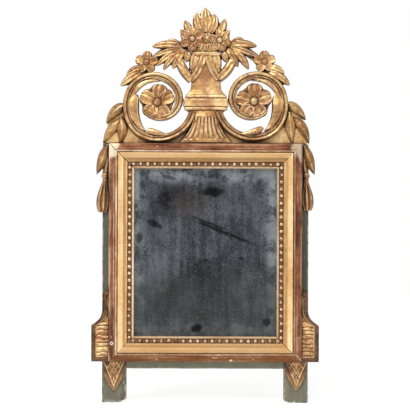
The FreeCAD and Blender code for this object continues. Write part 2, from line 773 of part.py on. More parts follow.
def blade(route, width, rise, floor, shape=leaf_shape, spot=pediment_spot):
    """A carved leaf or petal: flat behind, thin at its edges, with a ridge along its middle."""
    left, right, middle = edges_of(route, width, shape)
    last = len(middle) - 1
    edge = floor + rise * EDGE_SHARE
    ridge = []
    for step, point in enumerate(middle):
        swell = RIDGE_SHARE + (1 - RIDGE_SHARE) * math.sin(math.pi * step / last)
        ridge.append(at(spot(point), floor + rise * swell))
    faces = [facet(*[at(spot(point), floor) for point in left + right[::-1]])]
    for side in (left, right):
        low = [at(spot(point), floor) for point in side]
        high = [at(spot(point), edge) for point in side]
        for step in range(last):
            faces.append(facet(low[step], low[step + 1], high[step + 1], high[step]))
            faces.append(facet(high[step], high[step + 1], ridge[step + 1]))
            faces.append(facet(high[step], ridge[step + 1], ridge[step]))
    for step in (0, last):
        ends = [at(spot(left[step]), floor), at(spot(left[step]), edge), ridge[step]]
        ends += [at(spot(right[step]), edge), at(spot(right[step]), floor)]
        faces.append(facet(*ends))
    return closed(faces)


def closed(faces):
    shell = Part.Shell(faces)
    shell.sewShape()
    solid = Part.Solid(shell)
    if solid.Volume < 0:
        solid.reverse()
    return solid


def joined(shapes):
    return shapes[0].multiFuse(shapes[1:]).removeSplitter() if len(shapes) > 1 else shapes[0]


def prism(points, floor, rise, spot=pediment_spot):
    corners = [at(spot(point), floor) for point in points]
    return facet(*corners).extrude(Vector(0, -rise, 0))


def flat_blade(route, width, floor, rise, shape):
    left, right, middle = edges_of(route, width, shape)
    return prism(left + right[::-1], floor, rise)


def value_at(table, place):
    """Value between the entries of a table."""
    for (start, low), (end, high) in zip(table, table[1:]):
        if place <= end:
            return low + (high - low) * (place - start) / (end - start)
    return table[-1][1]


def arc_edges(points):
    """Arcs through the points: each takes one end, one point on the way and the next end."""
    return [Part.Arc(*points[index:index + 3]).toShape() for index in range(0, len(points) - 2, 2)]


def scroll_point(side, angle, inset_share, floor):
    """Point of the scroll: inset_share 0 is its outer edge and 1 its inner edge."""
    centre = SCROLL_CENTRES_PX[side]
    reach = value_at(SCROLL_EDGE_PX, angle) - inset_share * value_at(SCROLL_BAND_PX, angle)
    turn = math.radians(angle)
    across = -SIDES[side] * reach * math.cos(turn)
    low = min(centre[1] - reach * math.sin(turn), BASE_PX)
    return at(pediment_spot((centre[0] + across, low)), floor)


def scroll_band(side, outer_share, inner_share, floor, rise):
    angles = [SCROLL_START + (SCROLL_END - SCROLL_START) * step / SCROLL_STEPS
              for step in range(SCROLL_STEPS + 1)]
    outer = [scroll_point(side, angle, outer_share, floor) for angle in angles]
    inner = [scroll_point(side, angle, inner_share, floor) for angle in angles[::-1]]
    edges = arc_edges(outer) + [Part.LineSegment(outer[-1], inner[0]).toShape()]
    edges += arc_edges(inner) + [Part.LineSegment(inner[-1], outer[0]).toShape()]
    return Part.Face(Part.Wire(edges)).extrude(Vector(0, -rise, 0))


def disc(centre, reach, floor, rise):
    turns = [math.radians(45 * step) for step in range(9)]
    places = [(centre[0] + reach * math.cos(turn), centre[1] - reach * math.sin(turn)) for turn in turns]
    points = [at(pediment_spot(place), floor) for place in places]
    return Part.Face(Part.Wire(arc_edges(points))).extrude(Vector(0, -rise, 0))


def front_part(shape, floor):
    """What of a shape stands in front of its floor."""
    bounds = shape.BoundBox
    past = size("overrun")
    if bounds.YMax <= -floor:
        return shape
    behind = Part.makeBox(
        bounds.XLength + 2 * past, bounds.YMax + floor + past, bounds.ZLength + 2 * past,
        Vector(bounds.XMin - past, -floor, bounds.ZMin - past))
    return shape.cut(behind)


def flower(centre, angles, reach, width, rise, knob, floor):
    petals = []
    for angle in angles:
        turn = math.radians(angle)
        tip = (centre[0] + reach * math.cos(turn), centre[1] - reach * math.sin(turn))
        petals.append(blade((centre, tip), width, rise, floor, petal_shape))
    heart = at(pediment_spot(centre), floor + rise * KNOB_LIFT_SHARE)
    return joined(petals + [front_part(Part.makeSphere(knob, heart), floor)])


def banded(sections, floor, rise):
    """A round-fronted form: sections give a height in the picture, a half-width and a share of rise."""
    wires = []
    for height, half, rise_share in sections:
        ends = [at(pediment_spot((AXIS_PX + sign * half, height)), floor) for sign in (-1, 1)]
        inner = floor + rise * rise_share * EDGE_SHARE
        rims = [at(pediment_spot((AXIS_PX + sign * half, height)), inner) for sign in (-1, 1)]
        nose = at(pediment_spot((AXIS_PX, height)), floor + rise * rise_share)
        edges = [Part.LineSegment(ends[1], ends[0]).toShape(), Part.LineSegment(ends[0], rims[0]).toShape()]
        edges += [Part.Arc(rims[0], nose, rims[1]).toShape(), Part.LineSegment(rims[1], ends[1]).toShape()]
        wires.append(Part.Wire(edges))
    return Part.makeLoft(wires, True, True)


def fluted(sections, floor, rise, depth):
    """The vase's foot: ridges and flutes that spread downwards."""
    wires = []
    for height, half in sections:
        points = [at(pediment_spot((AXIS_PX + half, height)), floor)]
        points.append(at(pediment_spot((AXIS_PX - half, height)), floor))
        for step in range(2 * FLUTES + 1):
            share = step / FLUTES - 1
            front = rise * (1 - (1 - EDGE_SHARE) * share ** 2) - depth * (step % 2)
            points.append(at(pediment_spot((AXIS_PX + half * share, height)), floor + front))
        wires.append(Part.makePolygon(points + [points[0]]))
    return Part.makeLoft(wires, True, True)


def carve(label, shape, cutters=()):
    """Keep a carved shape as a node, cut back where its neighbours lie in front of it."""
    if cutters:
        shape = shape.cut(list(cutters))
    solids = sorted(shape.Solids, key=lambda solid: solid.Volume)
    whole = [solid for solid in solids if solid.Volume > solids[-1].Volume * SPLINTER_SHARE]
    item = doc.addObject("Part::Feature", label)
    item.Shape = whole[0] if len(whole) == 1 else Part.makeCompound(whole)
    return keep(item, label)


def leaves(rows, rise, floor, shape=leaf_shape):
    return joined([blade(route, width, rise, floor, shape) for route, width in rows])


def make_pediment():
    floor = number(CARVING_FLOOR)
    back = size("pediment_setback")
    board = size("board_thickness")
    leaf_rise = size("leaf_rise")

    grounds = [disc(*BOUQUET_BACK_PX, back, board), prism(PLINTH_PX, back, board)]
    grounds.append(prism(BASE_STRIP_PX, back, board))
    grounds.append(flat_blade(CREST_BACK_PX, CREST_BACK_WIDTH_PX, back, board, ribbon_shape))
    for side in SIDES:
        grounds.append(scroll_band(side, 0, 1, back, board))
        grounds.append(disc(SCROLL_CENTRES_PX[side], ROSETTE_BACK_PX, back, board))
        grounds.append(prism(SPANDREL_PX[side], back, board))
        grounds.append(flat_blade(ARM_PX[side], ARM_WIDTH_PX, back, board, ribbon_shape))
        grounds.append(flat_blade(TRAIL_PX[side], TRAIL_WIDTH_PX, back, board, ribbon_shape))
        for route, width in LAUREL_PX[side]:
            grounds.append(flat_blade(route, width * RIDGE_SHARE, back, board, leaf_shape))
        route, width = ACANTHUS_PX[side][0]
        grounds.append(flat_blade(route, width * RIDGE_SHARE, back, board, leaf_shape))
    silhouette = [(AXIS_PX - half, height) for height, half in URN_BODY_PX]
    silhouette += [(AXIS_PX - half, height) for height, half in URN_FOOT_PX]
    silhouette += [(2 * AXIS_PX - x, y) for x, y in silhouette[::-1]]
    grounds.append(prism(silhouette, back, board))
    ground = joined(grounds)
    dowels = []
    for x, y in dowel_places():
        base = Vector(number(x), number(y), number(TOP))
        dowels.append(Part.makeCylinder(size("dowel_radius"), size("dowel_grip"), base))
    carve("pediment_board", ground, dowels)
    pins = []
    for x, y in dowel_places():
        pins.append(pin(
            "sizes.dowel_radius - sizes.joint_clearance", "2 * sizes.dowel_grip",
            (x, y, "%s - sizes.dowel_grip" % TOP), angle=0))
    group("pediment_dowels", pins)

    rosettes, scrolls, sprays, garlands, bouquet = {}, {}, {}, {}, {}
    for side in SIDES:
        centre = SCROLL_CENTRES_PX[side]
        rosettes[side] = flower(
            centre, ROSETTE_PETALS[side], ROSETTE_REACH_PX, ROSETTE_WIDTH_PX,
            size("rosette_rise"), size("boss_radius"), floor)
        carve("rosette_" + side, rosettes[side])
        bands = [scroll_band(side, 0, 1, floor, size("scroll_rise"))]
        bands.append(scroll_band(side, *SCROLL_BEAD_SHARES, floor, size("scroll_bead_rise")))
        foliage = leaves(ACANTHUS_PX[side], size("acanthus_rise"), floor)
        scrolls[side] = carve("scroll_" + side, joined(bands + [foliage]), [rosettes[side]]).Shape
        bouquet[side] = flower(
            *BOUQUET_PX[side], size("petal_rise") * BOUQUET_RISE_SHARE, size("small_boss_radius"), floor)
        garlands[side] = flower(
            *GARLAND_FLOWER_PX[side], size("petal_rise"), size("small_boss_radius"), floor)
    bud = flower(*BUD_PX, size("petal_rise") * BUD_RISE_SHARE, size("small_boss_radius"), floor)
    carve("bouquet_bud", bud)
    carve("bouquet_flower_left", bouquet["left"], [bud])
    carve("bouquet_flower_right", bouquet["right"], [bud, bouquet["left"]])
    heads = [bud, bouquet["left"], bouquet["right"]]
    for side in SIDES:
        garlands[side] = carve("garland_flower_" + side, garlands[side], [scrolls[side]]).Shape
        spray = leaves(SPRAY_PX[side], leaf_rise, floor)
        sprays[side] = carve("spray_" + side, spray, heads + [garlands[side], scrolls[side]]).Shape
        trail = leaves(GARLAND_LEAF_PX[side], leaf_rise, floor)
        carve("garland_leaf_" + side, trail, [garlands[side], scrolls[side]])
        carve("laurel_" + side, leaves(LAUREL_PX[side], leaf_rise, floor), [scrolls[side]])
    crest = leaves(CREST_PX, leaf_rise, floor, lobe_shape)
    carve("crest_leaf", crest, heads + list(sprays.values()))

    swags = {}
    for side in SIDES:
        swag = leaves(SWAG_PX[side], size("swag_rise"), floor, ribbon_shape)
        others = heads + list(sprays.values()) + list(scrolls.values()) + list(swags.values())
        swags[side] = carve("swag_" + side, swag, others).Shape
    front = heads + list(sprays.values()) + list(swags.values()) + list(scrolls.values())
    body = banded([(height, half, 1.0) for height, half in URN_BODY_PX], floor, size("urn_rise"))
    carve("urn_body", body, front)
    collar = []
    for (top, low, half), rise_share in zip(URN_COLLAR_PX, COLLAR_RISE_SHARES):
        collar.append(banded([(top, half, rise_share), (low, half, rise_share)], floor, size("collar_rise")))
    carve("urn_collar", joined(collar), list(scrolls.values()))
    foot = fluted(URN_FOOT_PX, floor, size("foot_rise"), size("flute_depth"))
    carve("urn_foot", foot, list(scrolls.values()))


def make_batten():
    height = "sizes.batten_lap + sizes.batten_height"
    batten = block(
        ("sizes.batten_width", "sizes.batten_thickness", height),
        ("-sizes.batten_width / 2", "-sizes.pediment_setback", BATTEN_LOW))
    keep(batten, "pediment_batten")
    back = "-(sizes.pediment_setback - sizes.batten_thickness)"
    length = "sizes.batten_thickness + sizes.batten_screw_grip"
    screws = []
    for sign in SIDES.values():
        across = times(sign, "sizes.batten_width / 4")
        levels = ["%s - sizes.batten_lap / 2" % TOP]
        levels += ["%s + sizes.batten_height * %g" % (TOP, share) for share in BATTEN_SCREW_SHARES]
        for level in levels:
            screws.append(pin("sizes.batten_screw_radius", length, (across, back, level)))
    group("batten_screws", screws)


# Sides and feet

def make_drop(side, sign):
    shapes = DROP_PX[side]
    floor = size("frame_thickness")
    half = number(HALF_WIDTH)

    def spot(point):
        out = point[0] * size("drop_reach") / DROP_REACH_PX
        down = point[1] * size("drop_length") / DROP_LENGTH_PX
        return sign * (half + out), number(TOP) - down

    rise = size("drop_rise")
    leaf = blade(shapes["leaf"], shapes["widths"][0], rise, floor, leaf_shape, spot)
    bud = blade(shapes["bud"], shapes["widths"][1], rise, floor, bud_shape, spot)
    radius = size("knot_radius")
    centre = at(spot(shapes["knot"]), floor + rise * KNOT_LIFT_SHARE)
    knot = front_part(Part.makeSphere(radius, centre), floor)
    whole = joined([leaf, bud, knot])
    bounds = whole.BoundBox
    past = size("overrun")
    edge = half + size("bracket_clearance")
    reach = bounds.XLength + past
    start = edge - reach if sign > 0 else -edge
    moulding = Part.makeBox(
        reach, bounds.YLength + 2 * past, bounds.ZLength + 2 * past,
        Vector(start, bounds.YMin - past, bounds.ZMin - past))
    carve("drop_" + side, whole, [moulding])


def make_bracket(side, sign):
    body = new_body("bracket_" + side)
    outline = new_sketch(body, "XZ_Plane", "sizes.frame_thickness")
    inner = "(%s + sizes.bracket_clearance)" % HALF_WIDTH
    neck = "(%s + sizes.bracket_neck)" % HALF_WIDTH
    reach = "(%s + sizes.bracket_reach)" % HALF_WIDTH
    rise = "(sizes.bracket_flare_height - sizes.bracket_base_height)"
    run = "(sizes.bracket_reach - sizes.bracket_neck)"
    radius = "%g * sqrt(%s ^ 2 + %s ^ 2)" % (FLARE_RADIUS_SHARE, rise, run)
    corners = (
        (inner, "0"), (reach, "0"), (reach, "sizes.bracket_base_height"),
        (neck, "sizes.bracket_flare_height"), (neck, "sizes.bracket_height"),
        (inner, "sizes.bracket_height"))
    places = [(times(sign, x), z) for x, z in corners]
    add_outline(outline, places, {2: (radius, sign)})
    pad(body, outline, "sizes.bracket_depth")
    front = "(sizes.frame_thickness + sizes.bracket_depth)"
    panel = new_sketch(body, "XZ_Plane", front)
    start = "(%s + sizes.panel_inner_border)" % HALF_WIDTH
    end = "(%s - sizes.panel_border)" % reach
    low = "sizes.panel_border"
    high = "(sizes.bracket_base_height - sizes.panel_border / 2)"
    add_box(panel, (times(sign, start), low), (times(sign, end), high))
    pocket(body, panel, "sizes.panel_depth")
    ridge = new_sketch(body, "YZ_Plane", times(sign, start))
    pitch = "((%s - %s) / %d)" % (high, low, RIDGES)
    ground = "-(%s - sizes.panel_depth)" % front
    crown = "-(%s - sizes.panel_depth + sizes.ridge_height)" % front
    add_outline(ridge, (
        (ground, low), (ground, "%s + %s" % (low, pitch)), (crown, "%s + %s / 2" % (low, pitch))))
    bar = body.newObject("PartDesign::Pad", "ridge")
    bar.Profile = ridge
    bar.Reversed = sign < 0
    bar.setExpression("Length", "%s - %s" % (end, start))
    doc.recompute()
    repeat(body, bar, "Z_Axis", "%s - %s - %s" % (high, low, pitch), str(RIDGES))


def make_brackets():
    nails = []
    start = "-sizes.frame_thickness - sizes.bracket_depth"
    length = "sizes.bracket_depth + sizes.bracket_nail_grip"
    for side, sign in SIDES.items():
        make_bracket(side, sign)
        across = times(sign, "%s + sizes.stile_reveal / 2" % HALF_WIDTH)
        middle = "(sizes.bracket_height + sizes.bracket_flare_height) / 2"
        for level in ("sizes.panel_border / 2", middle):
            nails.append(pin("sizes.bracket_nail_radius", length, (across, start, level), angle=-90))
    group("bracket_nails", nails)


def make_foot_leaf(side, sign):
    floor = size("frame_thickness")
    middle = sign * (number(STILE_INNER) + number(STILE_OUTER)) / 2
    half = (number(STILE_OUTER) - number(STILE_INNER)) / 2 - size("foot_leaf_margin")

    def spot(point):
        return middle + point[0] * half, -point[1] * size("foot_leaf_length")

    carve("foot_leaf_" + side, blade(
        ((0, 0), (0, 1)), 2, size("foot_leaf_rise"), floor, shield_shape, spot))


# Iron hanger with its ring

def make_hanger():
    back = "(sizes.pediment_setback - sizes.batten_thickness)"
    plate = block(
        ("sizes.hanger_plate_width", "sizes.hanger_plate_thickness", "sizes.hanger_plate_length"),
        ("-sizes.hanger_plate_width / 2", "-%s" % back, "%s - sizes.hanger_plate_length" % HINGE_LEVEL))
    bore = "sizes.ring_wire_radius + sizes.knuckle_clearance"
    across = Vector(0, 1, 0)
    start = ("-sizes.hanger_plate_width / 2", "-%s" % HINGE_DEPTH, HINGE_LEVEL)
    tube = pin("%s + sizes.knuckle_wall" % bore, "sizes.hanger_plate_width", start, across)
    web = block(
        ("sizes.hanger_plate_width", "%s - %s" % (back, HINGE_DEPTH), "2 * sizes.ring_wire_radius"),
        ("-sizes.hanger_plate_width / 2", "-%s" % back, "%s - sizes.ring_wire_radius" % HINGE_LEVEL))
    solid = doc.addObject("Part::MultiFuse", "plate_and_knuckle")
    solid.Shapes = [plate, tube, web]
    through = ("-sizes.hanger_plate_width / 2 - sizes.overrun", start[1], start[2])
    hole = pin(bore, "sizes.hanger_plate_width + 2 * sizes.overrun", through, across)
    screw_levels = [
        "%s - sizes.hanger_plate_length * %g" % (HINGE_LEVEL, share) for share in HANGER_SCREW_SHARES]
    cutters = doc.addObject("Part::MultiFuse", "hanger_holes")
    cutters.Shapes = [hole] + [
        pin("sizes.hanger_screw_radius", "sizes.hanger_plate_thickness + 2 * sizes.overrun",
            ("0", "-%s + sizes.hanger_plate_thickness + sizes.overrun" % back, level))
        for level in screw_levels]
    hanger = doc.addObject("Part::Cut", "hanger_plate")
    hanger.Base = solid
    hanger.Tool = cutters
    keep(hanger, "hanger_plate")

    bar_start = ("-sizes.ring_radius", start[1], start[2])
    bar = pin("sizes.ring_wire_radius", "2 * sizes.ring_radius", bar_start, across)
    bow = doc.addObject("Part::Torus", "bow")
    bow.setExpression("Radius1", "sizes.ring_radius")
    bow.setExpression("Radius2", "sizes.ring_wire_radius")
    bow.Angle3 = 180
    bow.Placement.Rotation = FreeCAD.Rotation(Vector(1, 0, 0), -90)
    for axis, expression in zip("yz", start[1:]):
        bow.setExpression("Placement.Base.%s" % axis, expression)
    corners = []
    for sign in SIDES.values():
        corner = doc.addObject("Part::Sphere", "corner")
        corner.setExpression("Radius", "sizes.ring_wire_radius")
        corner.setExpression("Placement.Base.x", times(sign, "sizes.ring_radius"))
        for axis, expression in zip("yz", start[1:]):
            corner.setExpression("Placement.Base.%s" % axis, expression)
        corners.append(corner)
    ring = doc.addObject("Part::MultiFuse", "hanger_ring")
    ring.Shapes = [bar, bow] + corners
    keep(ring, "hanger_ring")
    group("hanger_screws", [
        pin("sizes.hanger_screw_radius - sizes.joint_clearance",
            "sizes.hanger_plate_thickness + sizes.hanger_screw_grip",
            ("0", "-%s + sizes.hanger_plate_thickness" % back, level)) for level in screw_levels])


def check_and_write():
    doc.recompute()
    for item in doc.Objects:
        if "Invalid" in item.State or "Error" in item.State:
            raise RuntimeError("%s is %s" % (item.Label, item.State))
    os.makedirs("parts", exist_ok=True)
    for item in nodes:
        shape = item.Shape
        if shape.isNull() or not shape.isValid() or not shape.Solids:
            raise RuntimeError("%s has no valid solid" % item.Label)
    for item in nodes:
        item.Shape.exportStep("parts/%s.step" % item.Label)
        print("%-24s %2d solids %12.1f mm3" % (item.Label, len(item.Shape.Solids), item.Shape.Volume))


make_frame()
make_mouldings()
make_glazing()
make_pediment()
make_batten()
for side, sign in SIDES.items():
    make_drop(side, sign)
    make_foot_leaf(side, sign)
make_brackets()
make_hanger()
check_and_write()
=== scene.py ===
import math
import random

import bpy
import numpy as np
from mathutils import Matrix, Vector


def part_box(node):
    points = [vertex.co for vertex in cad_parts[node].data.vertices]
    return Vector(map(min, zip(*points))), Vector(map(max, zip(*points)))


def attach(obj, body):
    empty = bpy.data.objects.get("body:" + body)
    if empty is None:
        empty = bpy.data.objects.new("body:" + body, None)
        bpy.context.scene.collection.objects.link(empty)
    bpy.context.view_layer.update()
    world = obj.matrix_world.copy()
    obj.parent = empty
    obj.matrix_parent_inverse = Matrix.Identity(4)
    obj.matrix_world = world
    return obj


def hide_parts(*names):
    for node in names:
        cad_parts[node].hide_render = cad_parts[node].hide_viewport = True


# Looks of a carved and gilded pediment mirror, in metres. The wall is the plane Y = 0, the front
# looks along -Y and Z = 0 is level with the lower edge of the gilded moulding.

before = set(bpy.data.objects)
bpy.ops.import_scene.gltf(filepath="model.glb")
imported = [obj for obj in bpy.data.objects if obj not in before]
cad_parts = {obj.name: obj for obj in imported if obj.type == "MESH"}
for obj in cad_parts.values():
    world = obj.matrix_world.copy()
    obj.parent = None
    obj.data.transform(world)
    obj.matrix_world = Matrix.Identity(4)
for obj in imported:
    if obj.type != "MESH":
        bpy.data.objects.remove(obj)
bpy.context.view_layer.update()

MM = 0.001
SIDES = {"left": -1, "right": 1}

# Places that the frame gives
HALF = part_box("moulding_top")[1].x
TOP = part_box("moulding_top")[1].z
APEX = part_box("crest_leaf")[1].z
GROUND = -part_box("pediment_board")[0].y  # front of the board and frame, which carvings stand on
FOOT_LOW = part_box("stile_left")[0].z

# Places in the photograph, in its own pixels
PHOTO_PX = 410
AXIS_PX = 206.9
BASE_PX = 144.0
HALF_PX = 96.0
HEIGHT_PX = 136.0
PIXEL = HALF / HALF_PX

# outer edge of the scroll: angle in degrees round the rosette, then distance from its centre
SCROLL_EDGE_PX = (
    (-140, 17.4), (-107, 17.8), (-61, 20.2), (-18, 24), (10, 26.4), (45, 27.7), (92, 29.8),
    (152, 33), (182, 34), (209, 36.2), (236, 39.2), (258, 39.8), (311, 40.4), (344, 40.4),
)
SCROLL_BAND_PX = ((-140, 4), (-61, 5.8), (0, 7.8), (180, 7.8), (344, 7.4))
SCROLL_CENTRES_PX = {"left": (158.3, 102.5), "right": (255, 101.5)}
# section of the scroll: share of the way from its outer to its inner edge, then height in mm
SCROLL_SECTION = (
    (0, 5), (0.03, 8), (0.1, 10.4), (0.25, 12), (0.4, 10.8), (0.48, 8.8), (0.53, 7),
    (0.58, 8.2), (0.67, 9.8), (0.76, 8.2), (0.81, 6.8), (0.86, 7.8), (0.93, 8.4), (1, 5),
)
ROSETTE_PETALS = {"left": (25, 80, 157, 233, 301), "right": (18, 87, 168, 231, 298)}
ROSETTE_REACH_PX = 18
ROSETTE_WIDTH_PX = 17.2
LEAFLET_REACH_PX = 15.8
LEAFLET_WIDTH_PX = 11.6

# leaves: x and y of the points that lead the midrib from base to tip, then the full width
ACANTHUS_PX = {
    "left": (
        (137, 95.3, 132.5, 104, 133.5, 122, 147, 131.5, 11.5),
        (147.8, 130.8, 153, 131.3, 160, 135, 172, 135.5, 6.6),
        (133.5, 98, 137.5, 84.5, 150, 79.5, 161, 82.2, 5),
    ),
    "right": (
        (276.4, 94.3, 280.8, 103, 279.5, 121, 265.5, 130.8, 11.5),
        (264.4, 128.2, 259, 129.8, 252, 134.4, 240, 134, 6.6),
        (279.5, 97, 275.5, 83.5, 263, 78.5, 252.3, 81.2, 5),
    ),
}
SPRAY_PX = {
    "left": (
        (182, 45, 174, 41, 167.2, 42.4, 6.5), (184, 47, 169, 43.6, 153.4, 47.2, 9),
        (182, 49, 168, 51, 154.5, 57.5, 7), (183, 49.5, 168, 55, 157.5, 66.5, 7.5),
        (185, 50, 172, 57, 164.4, 70.3, 8), (187, 50.5, 178, 59, 173.8, 69.2, 8.5),
        (189, 50, 189, 56, 186.6, 62.6, 8.5),
    ),
    "right": (
        (232, 43, 239, 39.2, 244.9, 40.2, 6), (229, 46, 244, 42.6, 257.6, 46.6, 9),
        (231, 48, 245, 50, 258, 57, 7.5), (231, 49, 243, 55, 249.4, 69.8, 8.5),
        (226, 48, 233, 54, 238.8, 67.2, 9), (224, 50, 225, 56, 228.8, 63, 8),
    ),
}
GARLAND_LEAF_PX = {
    "left": (
        (146, 68, 136, 68, 127.3, 76, 7.5), (147, 72, 133, 76, 121.8, 86.6, 9.5),
    ),
    "right": (
        (267, 67, 277, 66.5, 285.3, 73.6, 7.5), (266, 71, 280, 74.5, 290.6, 85.2, 9.5),
    ),
}
LAUREL_PX = {
    "left": (
        (126.5, 105.5, 115.5, 109, 107.4, 124, 10.5), (120.5, 120.5, 112.5, 129, 104.1, 144, 9.6),
        (122, 118, 124.8, 131, 121.6, 143.4, 11.4),
    ),
    "right": (
        (287.5, 103, 298, 107, 307, 119.6, 9.6), (295.5, 118.5, 305.5, 126, 310.2, 143.4, 10),
        (290, 112, 291, 128, 293.2, 142.4, 11.4),
    ),
}
CREST_LOBES = 3
CREST_PX = (
    (207, 37, 206.5, 22, 206, 8.4, 14), (206, 36, 198.5, 27, 197.4, 13, 12),
    (208, 36, 216, 27, 214.8, 14.6, 12), (196, 38, 189.5, 31, 185.8, 21.2, 9),
    (217, 37, 223.5, 30, 225.8, 19.6, 9), (193, 41, 186, 36, 181.6, 29.8, 7),
    (221, 41, 227, 36, 229.8, 29.8, 7),
)
# drapery on the vase: the inner and the outer arm of each swag, then the fold between them
SWAG_ARMS = 2
SWAG_PX = {
    "left": (
        (205, 53, 203.5, 68, 192.3, 81.2, 10), (180, 61, 184, 72, 192.6, 80.8, 10),
        (198, 51, 193, 60, 194, 70.5, 8.5),
    ),
    "right": (
        (208.4, 53, 210, 68, 219.6, 79.8, 10), (233.5, 60.5, 229.8, 71, 219.3, 79.4, 10),
        (214.5, 51, 219.5, 60, 218.5, 69.5, 8.5),
    ),
}
# flowers: centre, angles of the petals, reach from the centre, width of a petal
BOUQUET_PX = {
    "left": ((193, 39.5), (30, 88, 150, 208, 270, 330), 12.4, 10.5),
    "right": ((220.5, 41), (40, 92, 165, 235, 290, 345), 11.2, 9.5),
}
BUD_PX = ((208, 38.5), (0, 72, 144, 216, 288), 5.4, 5)
# leaves that hang below the bouquet, in front of the vase's mouth
BUD_LEAVES_PX = (
    (205, 41, 200.5, 46, 199, 53.5, 7), (209, 41, 213, 46, 214.5, 53.5, 7),
    (207, 42, 207, 47, 206.8, 54, 7), (198, 44, 192, 47, 191, 53, 7),
    (216, 44, 221, 47, 221.8, 53, 7),
)
BOUQUET_GROUND_PX = ((194, 44.5, 207, 48, 220, 44.5, 17),)
GARLAND_FLOWER_PX = {
    "left": ((147.5, 63), (12, 84, 160, 232, 304), 11.2, 10),
    "right": ((265.5, 62), (20, 92, 165, 236, 308), 11, 10),
}

# vase: height in the photograph, its half-width there and its rise in mm
URN_BODY_PX = (
    (52.5, 12.5, 9.5), (53.2, 14, 11.5), (56, 14, 11.5), (56.8, 12.5, 8), (60, 15.6, 8),
    (84, 14.6, 8), (90, 15.4, 8), (93.4, 17.6, 8.5), (95.6, 20.4, 9),
)
URN_COLLAR_PX = (
    (95.2, 19.4, 8), (95.8, 20.4, 10.4), (97.2, 20.8, 11.4), (98.4, 20.4, 10), (98.9, 20, 8.6),
    (99.3, 22.4, 12), (100, 22.6, 12.8), (103, 22.4, 12.2), (106.2, 22.6, 12.8), (106.9, 22.4, 12),
    (107.3, 20.6, 8.6), (107.8, 21.2, 10.4), (109, 21.6, 11.4), (110.4, 21.2, 10.2), (111, 20.4, 7),
)
URN_FOOT_PX = (
    (110.8, 19.6, 8.2), (112.5, 15.4, 8.6), (114.5, 13.2, 9.2), (116.4, 12.5, 10), (125, 14, 11),
    (133, 18, 11), (138.5, 22.4, 11), (143, 26, 10),
)
FLUTE_SPAN_PX = (116.5, 140)
FLUTES = 7
VASE_EDGE = 0.4

# carved drops: distance out from the moulding, then distance down from its top
DROP_REACH_PX = 13.0
DROP_LENGTH_PX = 69.0
DROP_REACH = 23.0 * MM
DROP_LENGTH = 122.0 * MM
DROP_PX = {
    "left": {"leaf": ((1.5, 1.5), (7.0, 16.0), (12.8, 31.0)), "knot": (4.6, 32.5),
             "stem": ((1.5, 6.0), (2.0, 22.0), (4.4, 33.0)),
             "bud": ((4.0, 35.5), (6.8, 52.0), (7.0, 69.0)), "widths": (11.0, 13.2)},
    "right": {"leaf": ((1.5, 0.5), (7.5, 16.0), (12.8, 30.5)), "knot": (4.6, 32.0),
              "stem": ((1.5, 5.0), (2.0, 22.0), (4.4, 32.5)),
              "bud": ((3.8, 35.0), (6.4, 51.0), (6.2, 66.5)), "widths": (11.0, 12.2)},
}
DROP_RISE = 12.0 * MM
STEM_RISE = 6.0 * MM
STEM_WIDTH_PX = 5.6
KNOT_RADIUS = 6.0 * MM
KNOT_LIFT_SHARE = 0.3

# how far the carvings stand out from their ground
LEAF_RISE = 10.0 * MM
ACANTHUS_RISE = 12.5 * MM
PETAL_RISE = 10.5 * MM
BOUQUET_RISE = 13.0 * MM
BUD_RISE = 12.6 * MM
FOLD_RISE = 9.0 * MM
GROUND_RISE = 8.0 * MM
LEAFLET_RISE = 4.6 * MM
ROSETTE_RISE = 11.0 * MM
SWAG_RISE = 13.0 * MM
FLUTE_DEPTH = 1.9 * MM
BOSS_RADIUS = 7.0 * MM
SMALL_BOSS_RADIUS = 5.2 * MM
BUD_BOSS_RADIUS = 3.6 * MM
KNOB_LIFT_SHARE = 0.55
SEAT = 0.6 * MM

# moulding: distance in from its outer edge and height above the frame, in mm
MOULDING_WIDTH = 44.1
MOULDING_SECTION = (
    (0, 0), (0, 16.6), (0.6, 18.6), (1.8, 20.9), (3.4, 21.7), (6, 21.9), (9.2, 21.7),
    (10.4, 21), (10.9, 20.1), (12.4, 20.2), (14.1, 19.9), (14.7, 19), (15, 17.2), (15.8, 17.2),
    (16.1, 19.2), (17, 20), (20, 19.6), (24.6, 18.4), (25.4, 17.6), (27, 14.6), (29, 12.2),
    (31.2, 10.8), (32.2, 10.4), (32.6, 8), (36.2, 7.5), (40, 8), (40.5, 9.2), (41.4, 9.6),
    (42.8, 9.5), (43.7, 8.8), (44.1, 7), (44.1, 0),
)
MOULDING_STATIONS = 150
SECTION_STEPS = 3
PEARL_RADIUS = 4.5
PEARL_PITCH = 12.3
PEARL_LINE = 36.2
PEARL_FLOOR = 7.5
PEARL_ZONE = 1.2
PEARL_SHIFT = 0.03
PEARL_STRAY = 0.15
PEARL_SIZES = (0.94, 1.02)
# open mitres, in mm: how far each end of a moulding has shrunk from its corner
MITRE_GAPS = {
    "bottom": (0.15, 0.9), "top": (0.15, 1.3), "left": (0.1, 0.1), "right": (0.1, 0.1),
}

# side brackets, in mm: out from the moulding and up from its lower edge
BRACKET_HEIGHT = 124.0
BRACKET_FLARE_HEIGHT = 99.0
BRACKET_BASE_HEIGHT = 64.0
BRACKET_NECK = 11.0
BRACKET_REACH = 30.6
BRACKET_SWEEP = 3.2
BRACKET_CUT = 4.0
BRACKET_CLEARANCE = 0.2
BRACKET_DEPTH = 15.0
PANEL_DEPTH = 4.5
PANEL_TOP = BRACKET_BASE_HEIGHT + 6.0
RIDGE_HEIGHT = 2.3
RIDGES = 8
RIDGE_DRIFT = 1.2
BORDER = 7.4
BORDER_ROUND = 4.0
BORDER_FALL = 2.2
FILLET = 2.6
FILLET_RISE = 2.6

